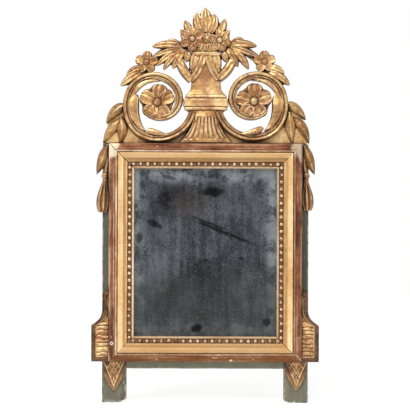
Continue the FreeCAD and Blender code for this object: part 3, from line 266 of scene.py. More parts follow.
# foot leaves: the lines on them are shares of the half-width and of the length
FOOT_LEAF_LENGTH = {"left": 54.5 * MM, "right": 52.0 * MM}
FOOT_LEAF_RISE = 8.0 * MM
V_SLOPE = 1.05
V_REACH = 0.86
CHEVRON_SLOPE = 1.3
CHEVRON_PITCH = 0.52
CROSS_SLOPE = 1.8
CROSS_LEVEL = 0.37
LINE_HALF = 0.07

STILE_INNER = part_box("stile_right")[0].x
STILE_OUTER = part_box("stile_right")[1].x
LOST_CORNER = {-1: 5.0 * MM, 1: 3.0 * MM}
FOOT_CHIP = 1.6 * MM
FOOT_WEAR_REACH = 14.0 * MM

AMBIENT = 0.36
FLOOR_GLOW = 0.84
FLOOR_HALF = 3.0
# lights: name, place, size and power
LIGHTS = (("key", (-0.7, -1.6, 2.1), 1.5, 66.0), ("fill", (1.6, -1.7, 0.9), 1.2, 10.0))

# fineness of the melted surfaces, and how far hand work and age make them uneven
VOXEL = 0.65 * MM
COARSE_VOXEL = 1.6 * MM
CARVING_SWELL = 0.35 * MM
MOULDING_SWELL = 0.5 * MM
WOOD_SWELL = 0.8 * MM
# how strongly hollows and ridges are noted, and how often the note is evened out
BEND_GAIN = 2.6
BEND_ROUNDS = 2
# faces whose normal has a higher Y than this look at the wall
LOOKS_BACK = 0.7
# points along and across the grids of the carved forms
BLADE_GRID = (44, 33)
SCROLL_GRID = (300, 42)
SCROLL_SMOOTHING = 25
VASE_GRID = (90, 71)
BRACKET_GRID = (230, 70)
FOOT_LEAF_GRID = (110, 91)


# Places

def pediment_spot(flat):
    """X and Z of points of the pediment that are given in the photograph's pixels."""
    x = (flat[..., 0] - AXIS_PX) * HALF / HALF_PX
    z = TOP + (BASE_PX - flat[..., 1]) * (APEX - TOP) / HEIGHT_PX
    return x, z


def drop_spot(sign):
    def spot(flat):
        x = sign * (HALF + flat[..., 0] * DROP_REACH / DROP_REACH_PX)
        return x, TOP - flat[..., 1] * DROP_LENGTH / DROP_LENGTH_PX
    return spot


def placed(x, z, depth):
    """Points in the shared frame: depth is the distance in front of the wall."""
    return np.stack(np.broadcast_arrays(x, -np.asarray(depth), z), axis=-1)


def along(route, shares):
    """Points of the smooth curve that the route's points lead."""
    points = [np.tile(np.array(point, float), (len(shares), 1)) for point in route]
    while len(points) > 1:
        points = [a + (b - a) * shares[:, None] for a, b in zip(points, points[1:])]
    return points[0]


def smooth_step(start, end, value):
    share = np.clip((value - start) / (end - start), 0, 1)
    return share * share * (3 - 2 * share)


def line(distance, half):
    """1 on a line, fading to 0 on both sides of it."""
    return np.exp(-(distance / half) ** 2)


def grid(lengthwise, crosswise):
    return np.meshgrid(lengthwise, crosswise, indexing="ij")


# Skins: closed surfaces that are gathered for a piece, as points and four-cornered faces

def skin(front, back):
    """A closed skin over a grid of points in front and the same grid behind it."""
    rows, columns = front.shape[:2]
    points = np.concatenate((front.reshape(-1, 3), back.reshape(-1, 3)))
    index = np.arange(rows * columns).reshape(rows, columns)
    near = np.stack((index[:-1, :-1], index[1:, :-1], index[1:, 1:], index[:-1, 1:]), -1).reshape(-1, 4)
    rim = np.concatenate((index[0, :-1], index[:-1, -1], index[-1, :0:-1], index[:0:-1, 0]))
    after = np.roll(rim, -1)
    behind = rows * columns
    walls = np.stack((rim, after, after + behind, rim + behind), -1)
    return points, np.concatenate((near, near[:, ::-1] + behind, walls))


def raised(x, z, height, seat=SEAT):
    """A closed skin that stands that high above the ground and reaches a little into it."""
    return skin(placed(x, z, GROUND + height), placed(x, z, GROUND - seat + 0 * height))


def ball(centre, radius, ground, lift=0.0, rings=12, spokes=20):
    """A knob that stands out of its ground, with its middle lifted above it."""
    tilt = np.linspace(0, 1, rings)[:, None] * math.pi / 2
    turn = np.linspace(0, 2 * math.pi, spokes + 1)[None, :]
    reach = radius * np.cos(tilt - 0.02)
    x = centre[0] + reach * np.cos(turn)
    z = centre[1] + reach * np.sin(turn)
    top = ground + lift + radius * np.sin(tilt) * np.ones_like(turn)
    return skin(placed(x, z, top), placed(x, z, ground - SEAT + 0 * top))


# Outlines of blades: half-width over the way from base to tip

def leaf_shape(share):
    return np.maximum(np.sin(math.pi * np.clip(share, 0, 0.999) ** 0.75) ** 0.8, 0.4 - 2 * share)


def curl_shape(share):
    return np.sin(math.pi * np.clip(share, 0, 0.999) ** 0.62) ** 0.7


def finger_shape(share):
    base = 0.45 + 0.55 * np.sin(math.pi / 2 * np.minimum(share / 0.5, 1))
    return base * np.clip(1 - (np.maximum(share - 0.5, 0) / 0.51) ** 2, 0.02, 1) ** 0.7


def petal_shape(share):
    return 0.3 + 0.7 * np.sin(math.pi * np.minimum(1.0, 0.05 + 0.6 * share)) - 0.5 * share ** 8


def ribbon_shape(share):
    return 0.82 + 0.18 * np.sin(math.pi * share)


def bud_shape(share):
    return 0.35 + 0.65 * np.sin(math.pi * 0.86 * share ** 1.4)


# Sections of blades: ridge lifts the middle, hollow sinks it, flutes run along, edge is the fall at
# the sides, base and tip are the heights there
LAUREL_CUT = {"ridge": 0.75, "edge": 0.6, "tip": 0.6}
FINGER_CUT = {"ridge": 0.3, "flutes": 2, "flute_depth": 0.2, "edge": 0.8, "base": 0.35, "tip": 0.8}
ACANTHUS_CUT = {"ridge": 0.14, "edge": 0.5, "tip": 0.85}
PETAL_CUT = {"hollow": 0.42, "flutes": 3, "flute_depth": 0.11, "edge": 0.85, "base": 0.45, "tip": 0.8}
SMALL_PETAL_CUT = {"hollow": 0.34, "flutes": 3, "flute_depth": 0.03, "edge": 0.85, "base": 0.5, "tip": 0.85}
CREST_CUT = {"ridge": 0.25, "flutes": 3, "flute_depth": 0.15, "edge": 0.85, "base": 0.35, "tip": 0.7}
GROUND_CUT = {"ridge": 0.2, "edge": 0.8, "base": 0.8, "tip": 0.8}
SWAG_CUT = {"ridge": 0.25, "flutes": 2, "flute_depth": 0.18, "edge": 0.9, "tip": 0.95}
BUD_CUT = {"ridge": 0.3, "flutes": 2.5, "flute_depth": 0.36, "edge": 0.6, "tip": 0.8}


def relief(u, v, ridge=0.0, hollow=0.0, flutes=0, flute_depth=0.0, edge=0.4, base=0.8, tip=0.65):
    """Height of a blade as a share of its rise, u along it and v across it."""
    away = np.abs(v)
    height = 1 - ridge * away ** 1.2 - hollow * (1 - away ** 2)
    if flutes:
        spread = smooth_step(0.02, 0.3, u)
        height = height - spread * flute_depth * (0.5 + 0.5 * np.cos(math.pi * flutes * (v + 1)))
    height = height * (1 - edge * smooth_step(0.74, 1.0, away) ** 1.5)
    height = height * (base + (1 - base) * smooth_step(0.0, 0.4, u))
    return height * (1 - (1 - tip) * smooth_step(0.6, 1.0, u))


def blade(route, width, rise, shape, cut, spot=pediment_spot):
    """A carved leaf or petal: flat behind, with its own section in front."""
    shares = np.linspace(0, 1, BLADE_GRID[0])
    u, v = grid(shares, np.linspace(-1, 1, BLADE_GRID[1]))
    centre = along(route, shares)
    run = np.gradient(centre, axis=0)
    run /= np.linalg.norm(run, axis=1, keepdims=True)
    side = np.stack((-run[:, 1], run[:, 0]), axis=-1)
    half = np.maximum(width / 2 * shape(shares), width * 0.03)[:, None]
    x, z = spot(centre[:, None, :] + side[:, None, :] * (v * half)[..., None])
    return raised(x, z, rise * relief(u, v, **cut))


def blades(rows, rise, shape, cut):
    return [blade(np.reshape(row[:-1], (-1, 2)), row[-1], rise, shape, cut) for row in rows]


def flower(centre, angles, reach, width, rise, knob, cut=SMALL_PETAL_CUT):
    skins = []
    for angle in angles:
        turn = math.radians(angle)
        tip = (centre[0] + reach * math.cos(turn), centre[1] - reach * math.sin(turn))
        skins.append(blade((centre, tip), width, rise, petal_shape, cut))
    return skins + [ball(pediment_spot(np.array(centre)), knob, GROUND, rise * KNOB_LIFT_SHARE)]


def between(angles):
    """Angles halfway from each petal to the next."""
    return [(a + b) / 2 for a, b in zip(angles, angles[1:] + (angles[0] + 360,))]


def scroll_band(side):
    """The reeded band that winds round a rosette."""
    centre = SCROLL_CENTRES_PX[side]
    angles = np.linspace(SCROLL_EDGE_PX[0][0], SCROLL_EDGE_PX[-1][0], SCROLL_GRID[0])
    edge = np.interp(angles, *zip(*SCROLL_EDGE_PX))
    window = np.hanning(SCROLL_SMOOTHING)
    edge = np.pad(edge, SCROLL_SMOOTHING // 2, mode="edge")
    edge = np.convolve(edge, window / window.sum(), mode="valid")
    band = np.interp(angles, *zip(*SCROLL_BAND_PX))
    shares = np.linspace(0, 1, SCROLL_GRID[1])
    reach = edge[:, None] - band[:, None] * shares[None, :]
    turn = np.radians(angles)[:, None]
    flat = np.stack((
        centre[0] - SIDES[side] * reach * np.cos(turn),
        np.minimum(centre[1] - reach * np.sin(turn), BASE_PX)), axis=-1)
    x, z = pediment_spot(flat)
    return raised(x, z, np.interp(shares, *zip(*SCROLL_SECTION))[None, :] * MM + 0 * x)


def turned(rows_px, power, flutes=0):
    """A round-fronted form of the vase. Higher powers make it flatter, with rounder ends."""
    levels, halves, rises = zip(*rows_px)
    level = np.linspace(levels[0], levels[-1], VASE_GRID[0])
    half = np.interp(level, levels, halves)[:, None]
    rise = np.interp(level, levels, rises)[:, None] * MM
    v = np.linspace(-1, 1, VASE_GRID[1])[None, :]
    depth = rise * (VASE_EDGE + (1 - VASE_EDGE) * (1 - np.abs(v) ** power) ** (1 / power))
    if flutes:
        open_span = smooth_step(FLUTE_SPAN_PX[0], FLUTE_SPAN_PX[0] + 2.5, level)
        open_span = open_span * (1 - smooth_step(FLUTE_SPAN_PX[1] - 1.5, FLUTE_SPAN_PX[1], level))
        groove = (0.5 + 0.5 * np.cos(math.pi * flutes * (v * 1.12 + 1))) ** 1.5
        depth = depth - FLUTE_DEPTH * open_span[:, None] * groove * (np.abs(v) < 0.9)
    flat = np.stack(np.broadcast_arrays(AXIS_PX + half * v, level[:, None]), axis=-1)
    return raised(*pediment_spot(flat), depth)


# Meshes

def new_mesh(name, skins):
    points, faces, count = [], [], 0
    for skin_points, skin_faces in skins:
        points.append(skin_points)
        faces.append(skin_faces + count)
        count += len(skin_points)
    mesh = bpy.data.meshes.new(name)
    mesh.from_pydata(np.concatenate(points).tolist(), [], np.concatenate(faces).tolist())
    mesh.update()
    return mesh


def read(items, key, size=3, kind=np.float32):
    """A vector of each item of a mesh, in rows."""
    values = np.empty(len(items) * size, kind)
    items.foreach_get(key, values)
    return values.reshape(-1, size)


def places_of(mesh):
    return read(mesh.vertices, "co")


def note(mesh, name, values):
    """Write a value for each point into the mesh for its material."""
    mesh.attributes.new(name, "FLOAT", "POINT").data.foreach_set("value", values.astype(np.float32))


def bend(mesh):
    """How hollow the surface is at each point: above 0 in hollows, below 0 on ridges."""
    count = len(mesh.vertices)
    place = places_of(mesh)
    normal = read(mesh.vertex_normals, "vector")
    a, b = read(mesh.edges, "vertices", 2, np.int32).T
    step = place[b] - place[a]
    step /= np.linalg.norm(step, axis=1, keepdims=True) + 1e-9
    degree = np.maximum(np.bincount(a, minlength=count) + np.bincount(b, minlength=count), 1)
    rise = np.bincount(a, (normal[a] * step).sum(1), count)
    rise = (rise - np.bincount(b, (normal[b] * step).sum(1), count)) / degree
    for _ in range(BEND_ROUNDS):
        around = np.bincount(a, rise[b], count) + np.bincount(b, rise[a], count)
        rise = 0.5 * rise + 0.5 * around / degree
    return rise


def dress(item, front, back=None):
    """Materials of a piece: one for what shows, and one for raw faces that look at the wall."""
    mesh = item.data
    mesh.materials.clear()
    mesh.materials.append(front)
    if back is None:
        return
    mesh.materials.append(back)
    raw = (read(mesh.polygons, "normal")[:, 1] > LOOKS_BACK).astype(np.int32)
    mesh.polygons.foreach_set("material_index", raw)


def worked(item, steps):
    """The item with modifiers applied: each step gives a kind of modifier and its settings."""
    for kind, settings in steps:
        modifier = item.modifiers.new(kind.lower(), kind)
        for key, value in settings.items():
            setattr(modifier, key, value)
    shown = item.evaluated_get(bpy.context.evaluated_depsgraph_get())
    mesh = bpy.data.meshes.new_from_object(shown)
    old = item.data
    item.modifiers.clear()
    item.data = mesh
    bpy.data.meshes.remove(old)


def clouds(name, size):
    texture = bpy.data.textures.new(name, "CLOUDS")
    texture.noise_scale = size
    texture.noise_depth = 2
    return texture


def swell(texture, strength):
    """The step for worked() that makes a surface uneven."""
    return "DISPLACE", {
        "texture": texture, "texture_coords": "GLOBAL", "strength": strength, "mid_level": 0.5}


def melted(item, voxel, rounds, swelling):
    """Melt an item into one surface, smooth it and make it uneven."""
    worked(item, (
        ("REMESH", {"mode": "VOXEL", "voxel_size": voxel}),
        ("SMOOTH", {"factor": 0.5, "iterations": rounds}),
        swelling))


HAND_WORK = clouds("hand_work", 9 * MM)
OLD_WOOD_SWELL = clouds("old_wood_swell", 45 * MM)


def finished(item, node, slot, front, back=None):
    """Put a made piece in the place of its node."""
    item.data.polygons.foreach_set("use_smooth", [True] * len(item.data.polygons))
    # hollows and ridges for the material: 0.5 is flat, 1 is a hollow
    note(item.data, "cavity", np.clip(0.5 + BEND_GAIN * bend(item.data), 0, 1))
    dress(item, front, back)
    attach(item, "mirror")
    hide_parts(node)
    return item


def linked(name, mesh):
    item = bpy.data.objects.new(name, mesh)
    bpy.context.scene.collection.objects.link(item)
    return item


def carved(node, skins, materials):
    """Melt skins into one carved surface with the slight unevenness of hand work."""
    item = linked("carved_" + node, new_mesh(node, skins))
    melted(item, VOXEL, 1, swell(HAND_WORK, CARVING_SWELL))
    return finished(item, node, "gilding", *materials)


def worn_copy(node, materials, slot, voxel=COARSE_VOXEL, uneven=WOOD_SWELL, rounds=3):
    """A copy of a node with the rounded edges and slight swell of old wood."""
    item = linked("worn_" + node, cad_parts[node].data.copy())
    melted(item, voxel, rounds, swell(OLD_WOOD_SWELL, uneven))
    return finished(item, node, slot, *materials)


# Materials

class Share:
    """A value among a material's nodes. Sums, differences and products stay between 0 and 1."""

    def __init__(self, finish, socket):
        self.finish = finish
        self.socket = socket

    def __add__(self, other):
        return self.finish.math("ADD", self, other)

    def __mul__(self, other):
        return self.finish.math("MULTIPLY", self, other)

    def __sub__(self, other):
        return self.finish.math("SUBTRACT", self, other)

    def __rsub__(self, other):
        return self.finish.math("SUBTRACT", other, self)

    __radd__ = __add__

    def mask(self, start, end):
        """0 at the start and before it, 1 at the end and past it."""
        return self.finish.add("ShaderNodeMapRange", "Result", {
            "Value": self, "From Min": start, "From Max": end}, interpolation_type="SMOOTHSTEP")

    def ramp(self, stops):
        """The colour that the stops give: each has a place and a colour."""
        node = self.finish.node("ShaderNodeValToRGB", {"Fac": self})
        points = node.color_ramp.elements
        while len(points) < len(stops):
            points.new(0.5)
        for point, (place, colour) in zip(points, stops):
            point.position = place
            point.color = (*colour, 1.0)
        return Share(self.finish, node.outputs["Color"])


class Finish:
    """A material's nodes, with short calls that add and link them."""

    def __init__(self, name):
        self.material = bpy.data.materials.new(name)
        self.material.use_nodes = True
        self.tree = self.material.node_tree
        self.shader = self.tree.nodes["Principled BSDF"]
        self.place = self.add("ShaderNodeTexCoord", "Object")

    def put(self, socket, value):
        if isinstance(value, Share):
            self.tree.links.new(value.socket, socket)
        else:
            socket.default_value = (*value, 1.0) if socket.type == "RGBA" else value

    def node(self, kind, inputs=None, **settings):
        node = self.tree.nodes.new(kind)
        for key, value in settings.items():
            setattr(node, key, value)
        for key, value in (inputs or {}).items():
            self.put(node.inputs[key], value)
        return node

    def add(self, kind, output, inputs=None, **settings):
        return Share(self, self.node(kind, inputs, **settings).outputs[output])

    def math(self, kind, *values, clamp=True):
        return self.add("ShaderNodeMath", 0, dict(enumerate(values)), operation=kind, use_clamp=clamp)

    def mix(self, share, a, b):
        return self.add("ShaderNodeMix", 2, {0: share, 6: a, 7: b}, data_type="RGBA")

    def layered(self, colour, *layers):
        """The colour under layers that each give a share and the tone that covers it."""
        for share, tone in layers:
            colour = self.mix(share, colour, tone)
        return colour

    def stretch(self, scale):
        """Coordinates stretched along an axis, for grain."""
        return self.add("ShaderNodeMapping", 0, {"Vector": self.place, "Scale": scale})

    def noise(self, scale, detail=4.0, roughness=0.6, place=None, distortion=0.0):
        return self.add("ShaderNodeTexNoise", "Fac", {
            "Vector": place or self.place, "Scale": scale, "Detail": detail, "Roughness": roughness,
            "Distortion": distortion})

    def cracks(self, scale):
        """Distance from the lines of a net of cracks."""
        return self.add("ShaderNodeTexVoronoi", "Distance", {
            "Vector": self.place, "Scale": scale}, feature="DISTANCE_TO_EDGE")

    def oval(self, x, z, wide, high, turn=0.0):
        """Distance from a spot seen from the front, 1 on the rim of an oval round it."""
        place = self.add("ShaderNodeMapping", 0, {
            "Vector": self.place, "Location": (x, 0.0, z), "Rotation": (0.0, turn, 0.0),
            "Scale": (wide, 1.0, high)}, vector_type="TEXTURE")
        return self.add("ShaderNodeVectorMath", "Value", {0: place}, operation="LENGTH")

    def level(self, axis, vector=None):
        return self.add("ShaderNodeSeparateXYZ", axis, {"Vector": vector or self.place})

    def size(self, value):
        return self.math("ABSOLUTE", value, clamp=False)

    def sideways(self):
        """1 on the flanks of a carving, 0 on what looks to the front or back."""
        return self.size(self.level("Y", self.add("ShaderNodeTexCoord", "Normal"))).mask(0.55, 0.2)

    def number(self, name):
        return self.add("ShaderNodeAttribute", "Fac", attribute_name=name)

    def shelter(self, distance):
        """1 in the open, 0 where other surfaces stand close."""
        return self.add("ShaderNodeAmbientOcclusion", "AO", {"Distance": distance}, samples=8)

    def bump(self, height, strength, distance):
        self.shade(normal=self.add("ShaderNodeBump", "Normal", {
            "Height": height, "Strength": strength, "Distance": distance}))

    def shade(self, **inputs):
        for key, value in inputs.items():
            name = key.replace("_", " ").title().replace("Ior", "IOR")
            self.put(self.shader.inputs[name], value)
        return self.material


# gold leaf, what shows where it is worn, and the painted shade and highlights laid on it
GLINT = (1.0, 0.8, 0.48)
BRIGHT_GOLD = (0.9, 0.62, 0.3)
MID_GOLD = (0.58, 0.33, 0.125)
DEEP_GOLD = (0.27, 0.12, 0.038)
GREEN_GOLD = (0.76, 0.54, 0.2)
DULL_GOLD = (0.38, 0.215, 0.155)
RUBBED = (0.36, 0.155, 0.075)
BOLE = (0.2, 0.07, 0.036)
# dark brown for painted shade in sheltered places, and for grime and painted shade in the moulding's hollows
# and nail hole
SHADE_AND_GRIME = (0.045, 0.019, 0.007)
# brown of grime and painted shade in the hollows
HOLLOW_BROWN = (0.115, 0.05, 0.018)
# painted shade on the flanks of a carving, which turn away from the light
SIDE_SHADE = (0.085, 0.036, 0.013)
GESSO = (0.78, 0.66, 0.55)
# dark brown and painted shade on the outer border of brackets and foot leaves
DARK_BORDER = (0.022, 0.008, 0.003)
WARM_BORDER = (0.115, 0.048, 0.014)
GILDING_SHINE = 0.3
GRAIN_BUMP = (0.35, 0.5 * MM)
SEAM_REACH = 5 * MM


def gilding(name, rub=0.5, chip=0.74, painted_shade_reach=12 * MM, bright=-0.015, middle=0.0, border=False):
    """Worn leaf gold: rubbed to the red ground on ridges, grime and painted shade in the hollows, chipped to
    white.

    Lower values of rub and chip wear more of it, bright lifts its tone, middle is how far from the axis it
    is bared, and border takes in the dark border and bright fillet that a mesh notes, with painted
    shade on the border and a painted highlight on the fillet. Painted shade also darkens the flanks and
    sheltered places, whose reach is given, and painted highlights brighten the ridges.
    """
    finish = Finish(name)
    cavity = finish.number("cavity")
    patches = finish.noise(26, 5)
    fine = finish.noise(190, 6, 0.7)
    gold = (patches * 0.6 + fine * 0.4).ramp((
        (0.41 - bright, DEEP_GOLD), (0.51 - bright, MID_GOLD), (0.64 - bright, BRIGHT_GOLD)))
    rubbed = finish.noise(34, 6, 0.65).mask(rub, rub + 0.16)
    if middle:
        near = finish.size(finish.level("X")).mask(middle, 0.0)
        rubbed = rubbed + near * finish.noise(48, 6, 0.7).mask(0.36, 0.54)
    # painted highlight: paler gold glints on ridges
    glint = cavity.mask(0.49, 0.38) * finish.noise(60, 5).mask(0.38, 0.58)
    gold = finish.layered(
        gold, (finish.noise(30, 4).mask(0.52, 0.64) * 0.4, DULL_GOLD),
        (finish.noise(23, 4).mask(0.5, 0.62) * 0.4, GREEN_GOLD), (rubbed * 0.75, RUBBED),
        (glint * 0.45, GLINT))
    if border:
        # dark brown border with painted shade on its rounded outer edge, unevenly spread
        depth = finish.number("border")
        dark = depth.mask(0.1, 0.35)
        patchiness = 0.82 + finish.noise(48, 5, 0.65).mask(0.62, 0.42) * 0.18
        gold = finish.mix(dark * patchiness, gold, depth.ramp(((0.4, WARM_BORDER), (0.85, DARK_BORDER))))
    ridge = (cavity - finish.noise(70, 5) * 0.5).mask(0.24, 0.08)
    worn = ridge * finish.noise(55, 5, 0.7).mask(0.46, 0.6)
    chips = finish.noise(120, 3, 0.5).mask(chip, chip + 0.02) * cavity.mask(0.55, 0.4)
    # grime and painted shade: brown in the hollows
    hollow = cavity.mask(0.53, 0.68)
    # painted shade: darker near seams and in sheltered places, where ambient occlusion finds other surfaces
    # close
    seam = finish.shelter(SEAM_REACH).mask(0.8, 0.4)
    shade = finish.shelter(painted_shade_reach).mask(0.76, 0.26) * 0.8
    painted_shade = (seam + shade) * fine.mask(0.05, 0.42)
    # the flanks of a carving get painted shade
    colour = finish.layered(
        gold, (worn * 0.85, BOLE), (chips, GESSO), (hollow * 0.85, HOLLOW_BROWN),
        (finish.sideways() * 0.8, SIDE_SHADE), (painted_shade, SHADE_AND_GRIME))
    grime_and_shade = hollow * 0.8 + painted_shade
    leaf = 1.0 - (grime_and_shade + (worn + chips))
    if border:
        # painted highlight: bright gold along the raised fillet and lines
        fillet = finish.number("fillet") * finish.noise(60, 5).mask(0.36, 0.56)
        colour = finish.mix(fillet * 0.75, colour, BRIGHT_GOLD)
        leaf = leaf - dark
    finish.bump(fine * 0.6 + finish.cracks(150).mask(0.0, 0.04) * 0.3, *GRAIN_BUMP)
    return finish.shade(
        base_color=colour, metallic=leaf * 0.6, roughness=0.32 + (grime_and_shade + patches * 0.35) * 0.4,
        specular_ior_level=GILDING_SHINE)


# zones of the moulding, by the share of the way in from its outer edge, and their tones. What is
# brown, or dulled and darkened as painted shade, is mixed with the second tone. Pearls have shares past 1,
# higher at their tops.
STEP_ZONE = (0.26, 0.275)
FLAT_ZONE = (0.345, 0.36)
COVE_ZONE = (0.56, 0.7)
CHANNEL_ZONE = (0.718, 0.728)
LIP_ZONE = (0.908, 0.918)
PEARLS = (1.1, 1.2)
PEARL_TOPS = (1.84, 2.14)
OUTER_RIM = (0.058, 0.036)
BAND_TONES = (
    (0.4, (0.06, 0.016, 0.005)), (0.49, (0.165, 0.05, 0.017)), (0.58, (0.28, 0.105, 0.038)),
    (0.66, (0.5, 0.27, 0.135)))
BAND_BROWN = (0.155, 0.056, 0.012)
STEP_TONES = ((0.38, (0.22, 0.095, 0.04)), (0.5, (0.44, 0.245, 0.14)), (0.62, (0.74, 0.57, 0.45)))
STEP_BROWN = (0.2, 0.085, 0.035)
FLAT_TONES = ((0.36, (0.6, 0.34, 0.125)), (0.5, (0.9, 0.58, 0.26)), (0.62, (1.0, 0.76, 0.42)))
FLAT_SHADED = (0.42, 0.23, 0.085)
COVE_TONES = ((0.36, (0.36, 0.17, 0.06)), (0.5, (0.66, 0.375, 0.15)), (0.64, (0.88, 0.59, 0.28)))
COVE_SHADED = (0.36, 0.19, 0.07)
CHANNEL_TONES = ((0.36, (0.12, 0.055, 0.02)), (0.66, (0.34, 0.175, 0.07)))
LIP_TONES = ((0.36, (0.5, 0.32, 0.17)), (0.5, (0.78, 0.58, 0.38)), (0.64, (0.95, 0.84, 0.68)))
LIP_BROWN = (0.34, 0.2, 0.09)
PEARL_TONES = ((0.38, (0.085, 0.034, 0.012)), (0.5, (0.16, 0.072, 0.028)), (0.62, (0.36, 0.2, 0.095)))
# pale tone of the pearl tops: rubbed gilding and painted highlight
PEARL_PALE = (0.73, 0.53, 0.35)
BARE_GROUND = (0.8, 0.67, 0.47)
# where the gilding is lost to the white ground: place across and up, half-width, half-height and strength
LOST_GILDING = ((-HALF, TOP, 26 * MM, 42 * MM, 0.9), (HALF, TOP, 26 * MM, 42 * MM, 0.45))
# the ring that a pulled nail has left
NAIL_SPOT = (-163.9 * MM, 33.2 * MM)
NAIL_RING = 2.6 * MM
NAIL_PALE = (0.72, 0.66, 0.58)


def moulding_gilding(name, grain, dulled_and_shaded=0.0, brown_lip=0.0, brown_band=0.0, brown_step=0.0):
    """Gilding whose wear follows the steps of the moulding's section. Dulling takes its gold down, as a
    duller finish and as painted shade.
    """
    finish = Finish(name)
    across = finish.number("across")
    cavity = finish.number("cavity")
    fine = finish.noise(190, 6, 0.7)
    streaks = finish.noise(90, 6, 0.7, finish.stretch(grain))
    drift = streaks * 0.6 + finish.noise(42, 6, 0.7) * 0.4
    broad = finish.noise(16, 4) * 0.5 + (streaks * 0.2 + fine * 0.3)
    # rubbed gilding and a painted highlight on the pearl tops
    bald_and_highlit = across.mask(*PEARL_TOPS) * finish.noise(95, 4, 0.65).mask(0.3, 0.55)
    zones = (
        (STEP_ZONE, finish.mix(brown_step, drift.ramp(STEP_TONES), STEP_BROWN)),
        (FLAT_ZONE, finish.mix(dulled_and_shaded, broad.ramp(FLAT_TONES), FLAT_SHADED)),
        (COVE_ZONE, finish.mix(dulled_and_shaded, drift.ramp(COVE_TONES), COVE_SHADED)),
        (CHANNEL_ZONE, fine.ramp(CHANNEL_TONES)),
        (LIP_ZONE, finish.mix(brown_lip, drift.ramp(LIP_TONES), LIP_BROWN)),
        (PEARLS, finish.mix(bald_and_highlit * 0.85, finish.noise(110, 4).ramp(PEARL_TONES), PEARL_PALE)))
    band = finish.mix(brown_band, drift.ramp(BAND_TONES), BAND_BROWN)
    colour = finish.layered(band, *((across.mask(*zone), tone) for zone, tone in zones))
    torn = finish.noise(60, 5, 0.65, finish.stretch([max(share, 0.4) for share in grain]))
    chips = torn.mask(0.67, 0.71)
    for *spot, strength in LOST_GILDING:
        away = finish.math("ADD", finish.oval(*spot), torn, clamp=False)
        chips = chips + away.mask(1.32, 1.1) * strength
    chips = chips * across.mask(0.36, 0.3)
    edge = cavity.mask(0.44, 0.34) * streaks.mask(0.44, 0.58)
    rim = across.mask(*OUTER_RIM) * streaks.mask(0.42, 0.56)
    pale = 0.55 * (1 - 0.6 * brown_step) * (1 - 0.6 * dulled_and_shaded)
    bare = chips * 0.9 + (edge + rim * (1 - brown_lip)) * pale
    # grime and painted shade: darker in the hollows and where surfaces stand close, less so on the pearls
    # and the lip
    grime_and_shade = cavity.mask(0.56, 0.78) * 0.8 + finish.shelter(4 * MM).mask(0.62, 0.2) * 0.9
    spared = across.mask(*PEARLS) * 0.75 + across.mask(0.908, 0.93) * 0.75
    grime_and_shade = grime_and_shade * (1.0 - spared)
    nail = finish.oval(*NAIL_SPOT, NAIL_RING, NAIL_RING)
    colour = finish.layered(
        colour, (bare, BARE_GROUND), (grime_and_shade, SHADE_AND_GRIME), (nail.mask(1.25, 1.0), NAIL_PALE),
        (nail.mask(0.62, 0.5), SHADE_AND_GRIME))
    gilt = across.mask(0.34, 0.37) * (1.0 - grime_and_shade)
    finish.bump(fine * 0.6 + streaks * 0.4, *GRAIN_BUMP)
    return finish.shade(
        base_color=colour, metallic=gilt * (0.5 - 0.3 * dulled_and_shaded),
        roughness=(0.34 + 0.22 * dulled_and_shaded) + (1.0 - gilt) * 0.3, specular_ior_level=GILDING_SHINE)


PAINT_TONES = ((0.34, (0.07, 0.072, 0.043)), (0.5, (0.138, 0.133, 0.085)), (0.66, (0.215, 0.2, 0.138)))
PAINT_STAIN = (0.07, 0.062, 0.04)
# painted shade on the stiles beside the moulding
PAINT_SHADE_ABOVE = (0.055, 0.052, 0.032)
PAINT_RUBBED = (0.42, 0.36, 0.27)
PAINT_SPECKS = (0.5, 0.46, 0.38)
# painted shade in sheltered places
PAINT_SHADE = (0.03, 0.028, 0.02)
# painted light: paler green that lifts the rails out of the moulding's shadow
PAINT_PAINTED_LIGHT = (0.25, 0.26, 0.185)
FOOT_PALE = (0.7, 0.66, 0.58)


def green_paint(name, pale=0.0):
    """Grey-green paint on old wood, rubbed pale along the edges and chipped at the foot, darker above the
    moulding's lower edge and in sheltered places as painted shade, with painted light where pale is given.
    """
    finish = Finish(name)
    up = finish.level("Z")
    paint = finish.noise(30, 5, 0.65, finish.stretch((1.0, 1.0, 0.25))).ramp(PAINT_TONES)
    rubbed = finish.number("cavity").mask(0.46, 0.36) * (finish.noise(90, 4) * 0.9)
    foot = up.mask(FOOT_LOW + 7 * MM, FOOT_LOW + 2 * MM) * finish.noise(75, 4).mask(0.45, 0.52)
    foot = foot * (0.3 + finish.level("X").mask(-1 * MM, 1 * MM))
    paint = finish.layered(
        paint, (finish.noise(55, 5, 0.7).mask(0.54, 0.7) * 0.55, PAINT_STAIN),
        # painted shade: darker above the moulding's lower edge
        (up.mask(-5 * MM, 10 * MM) * 0.65, PAINT_SHADE_ABOVE), (rubbed.mask(0.36, 0.56) * 0.8, PAINT_RUBBED),
        (finish.noise(240, 3, 0.5).mask(0.68, 0.7) * 0.6, PAINT_SPECKS),
        # painted shade in sheltered places, and painted light where pale is given
        (finish.shelter(9 * MM).mask(0.75, 0.2) * 0.6, PAINT_SHADE), (pale, PAINT_PAINTED_LIGHT),
        (foot * 0.85, FOOT_PALE))
    finish.bump(finish.noise(160, 6, 0.7, finish.stretch((1.0, 1.0, 0.2))), *GRAIN_BUMP)
    return finish.shade(base_color=paint, roughness=0.62)


WOOD_TONES = ((0.34, (0.075, 0.042, 0.02)), (0.48, (0.165, 0.098, 0.05)), (0.62, (0.27, 0.175, 0.096)))
WOOD_STAIN = (0.05, 0.032, 0.018)
WOOD_DUST = (0.33, 0.27, 0.2)
# painted shade at seams and in sheltered places
WOOD_SEAM_SHADE = (0.018, 0.012, 0.008)


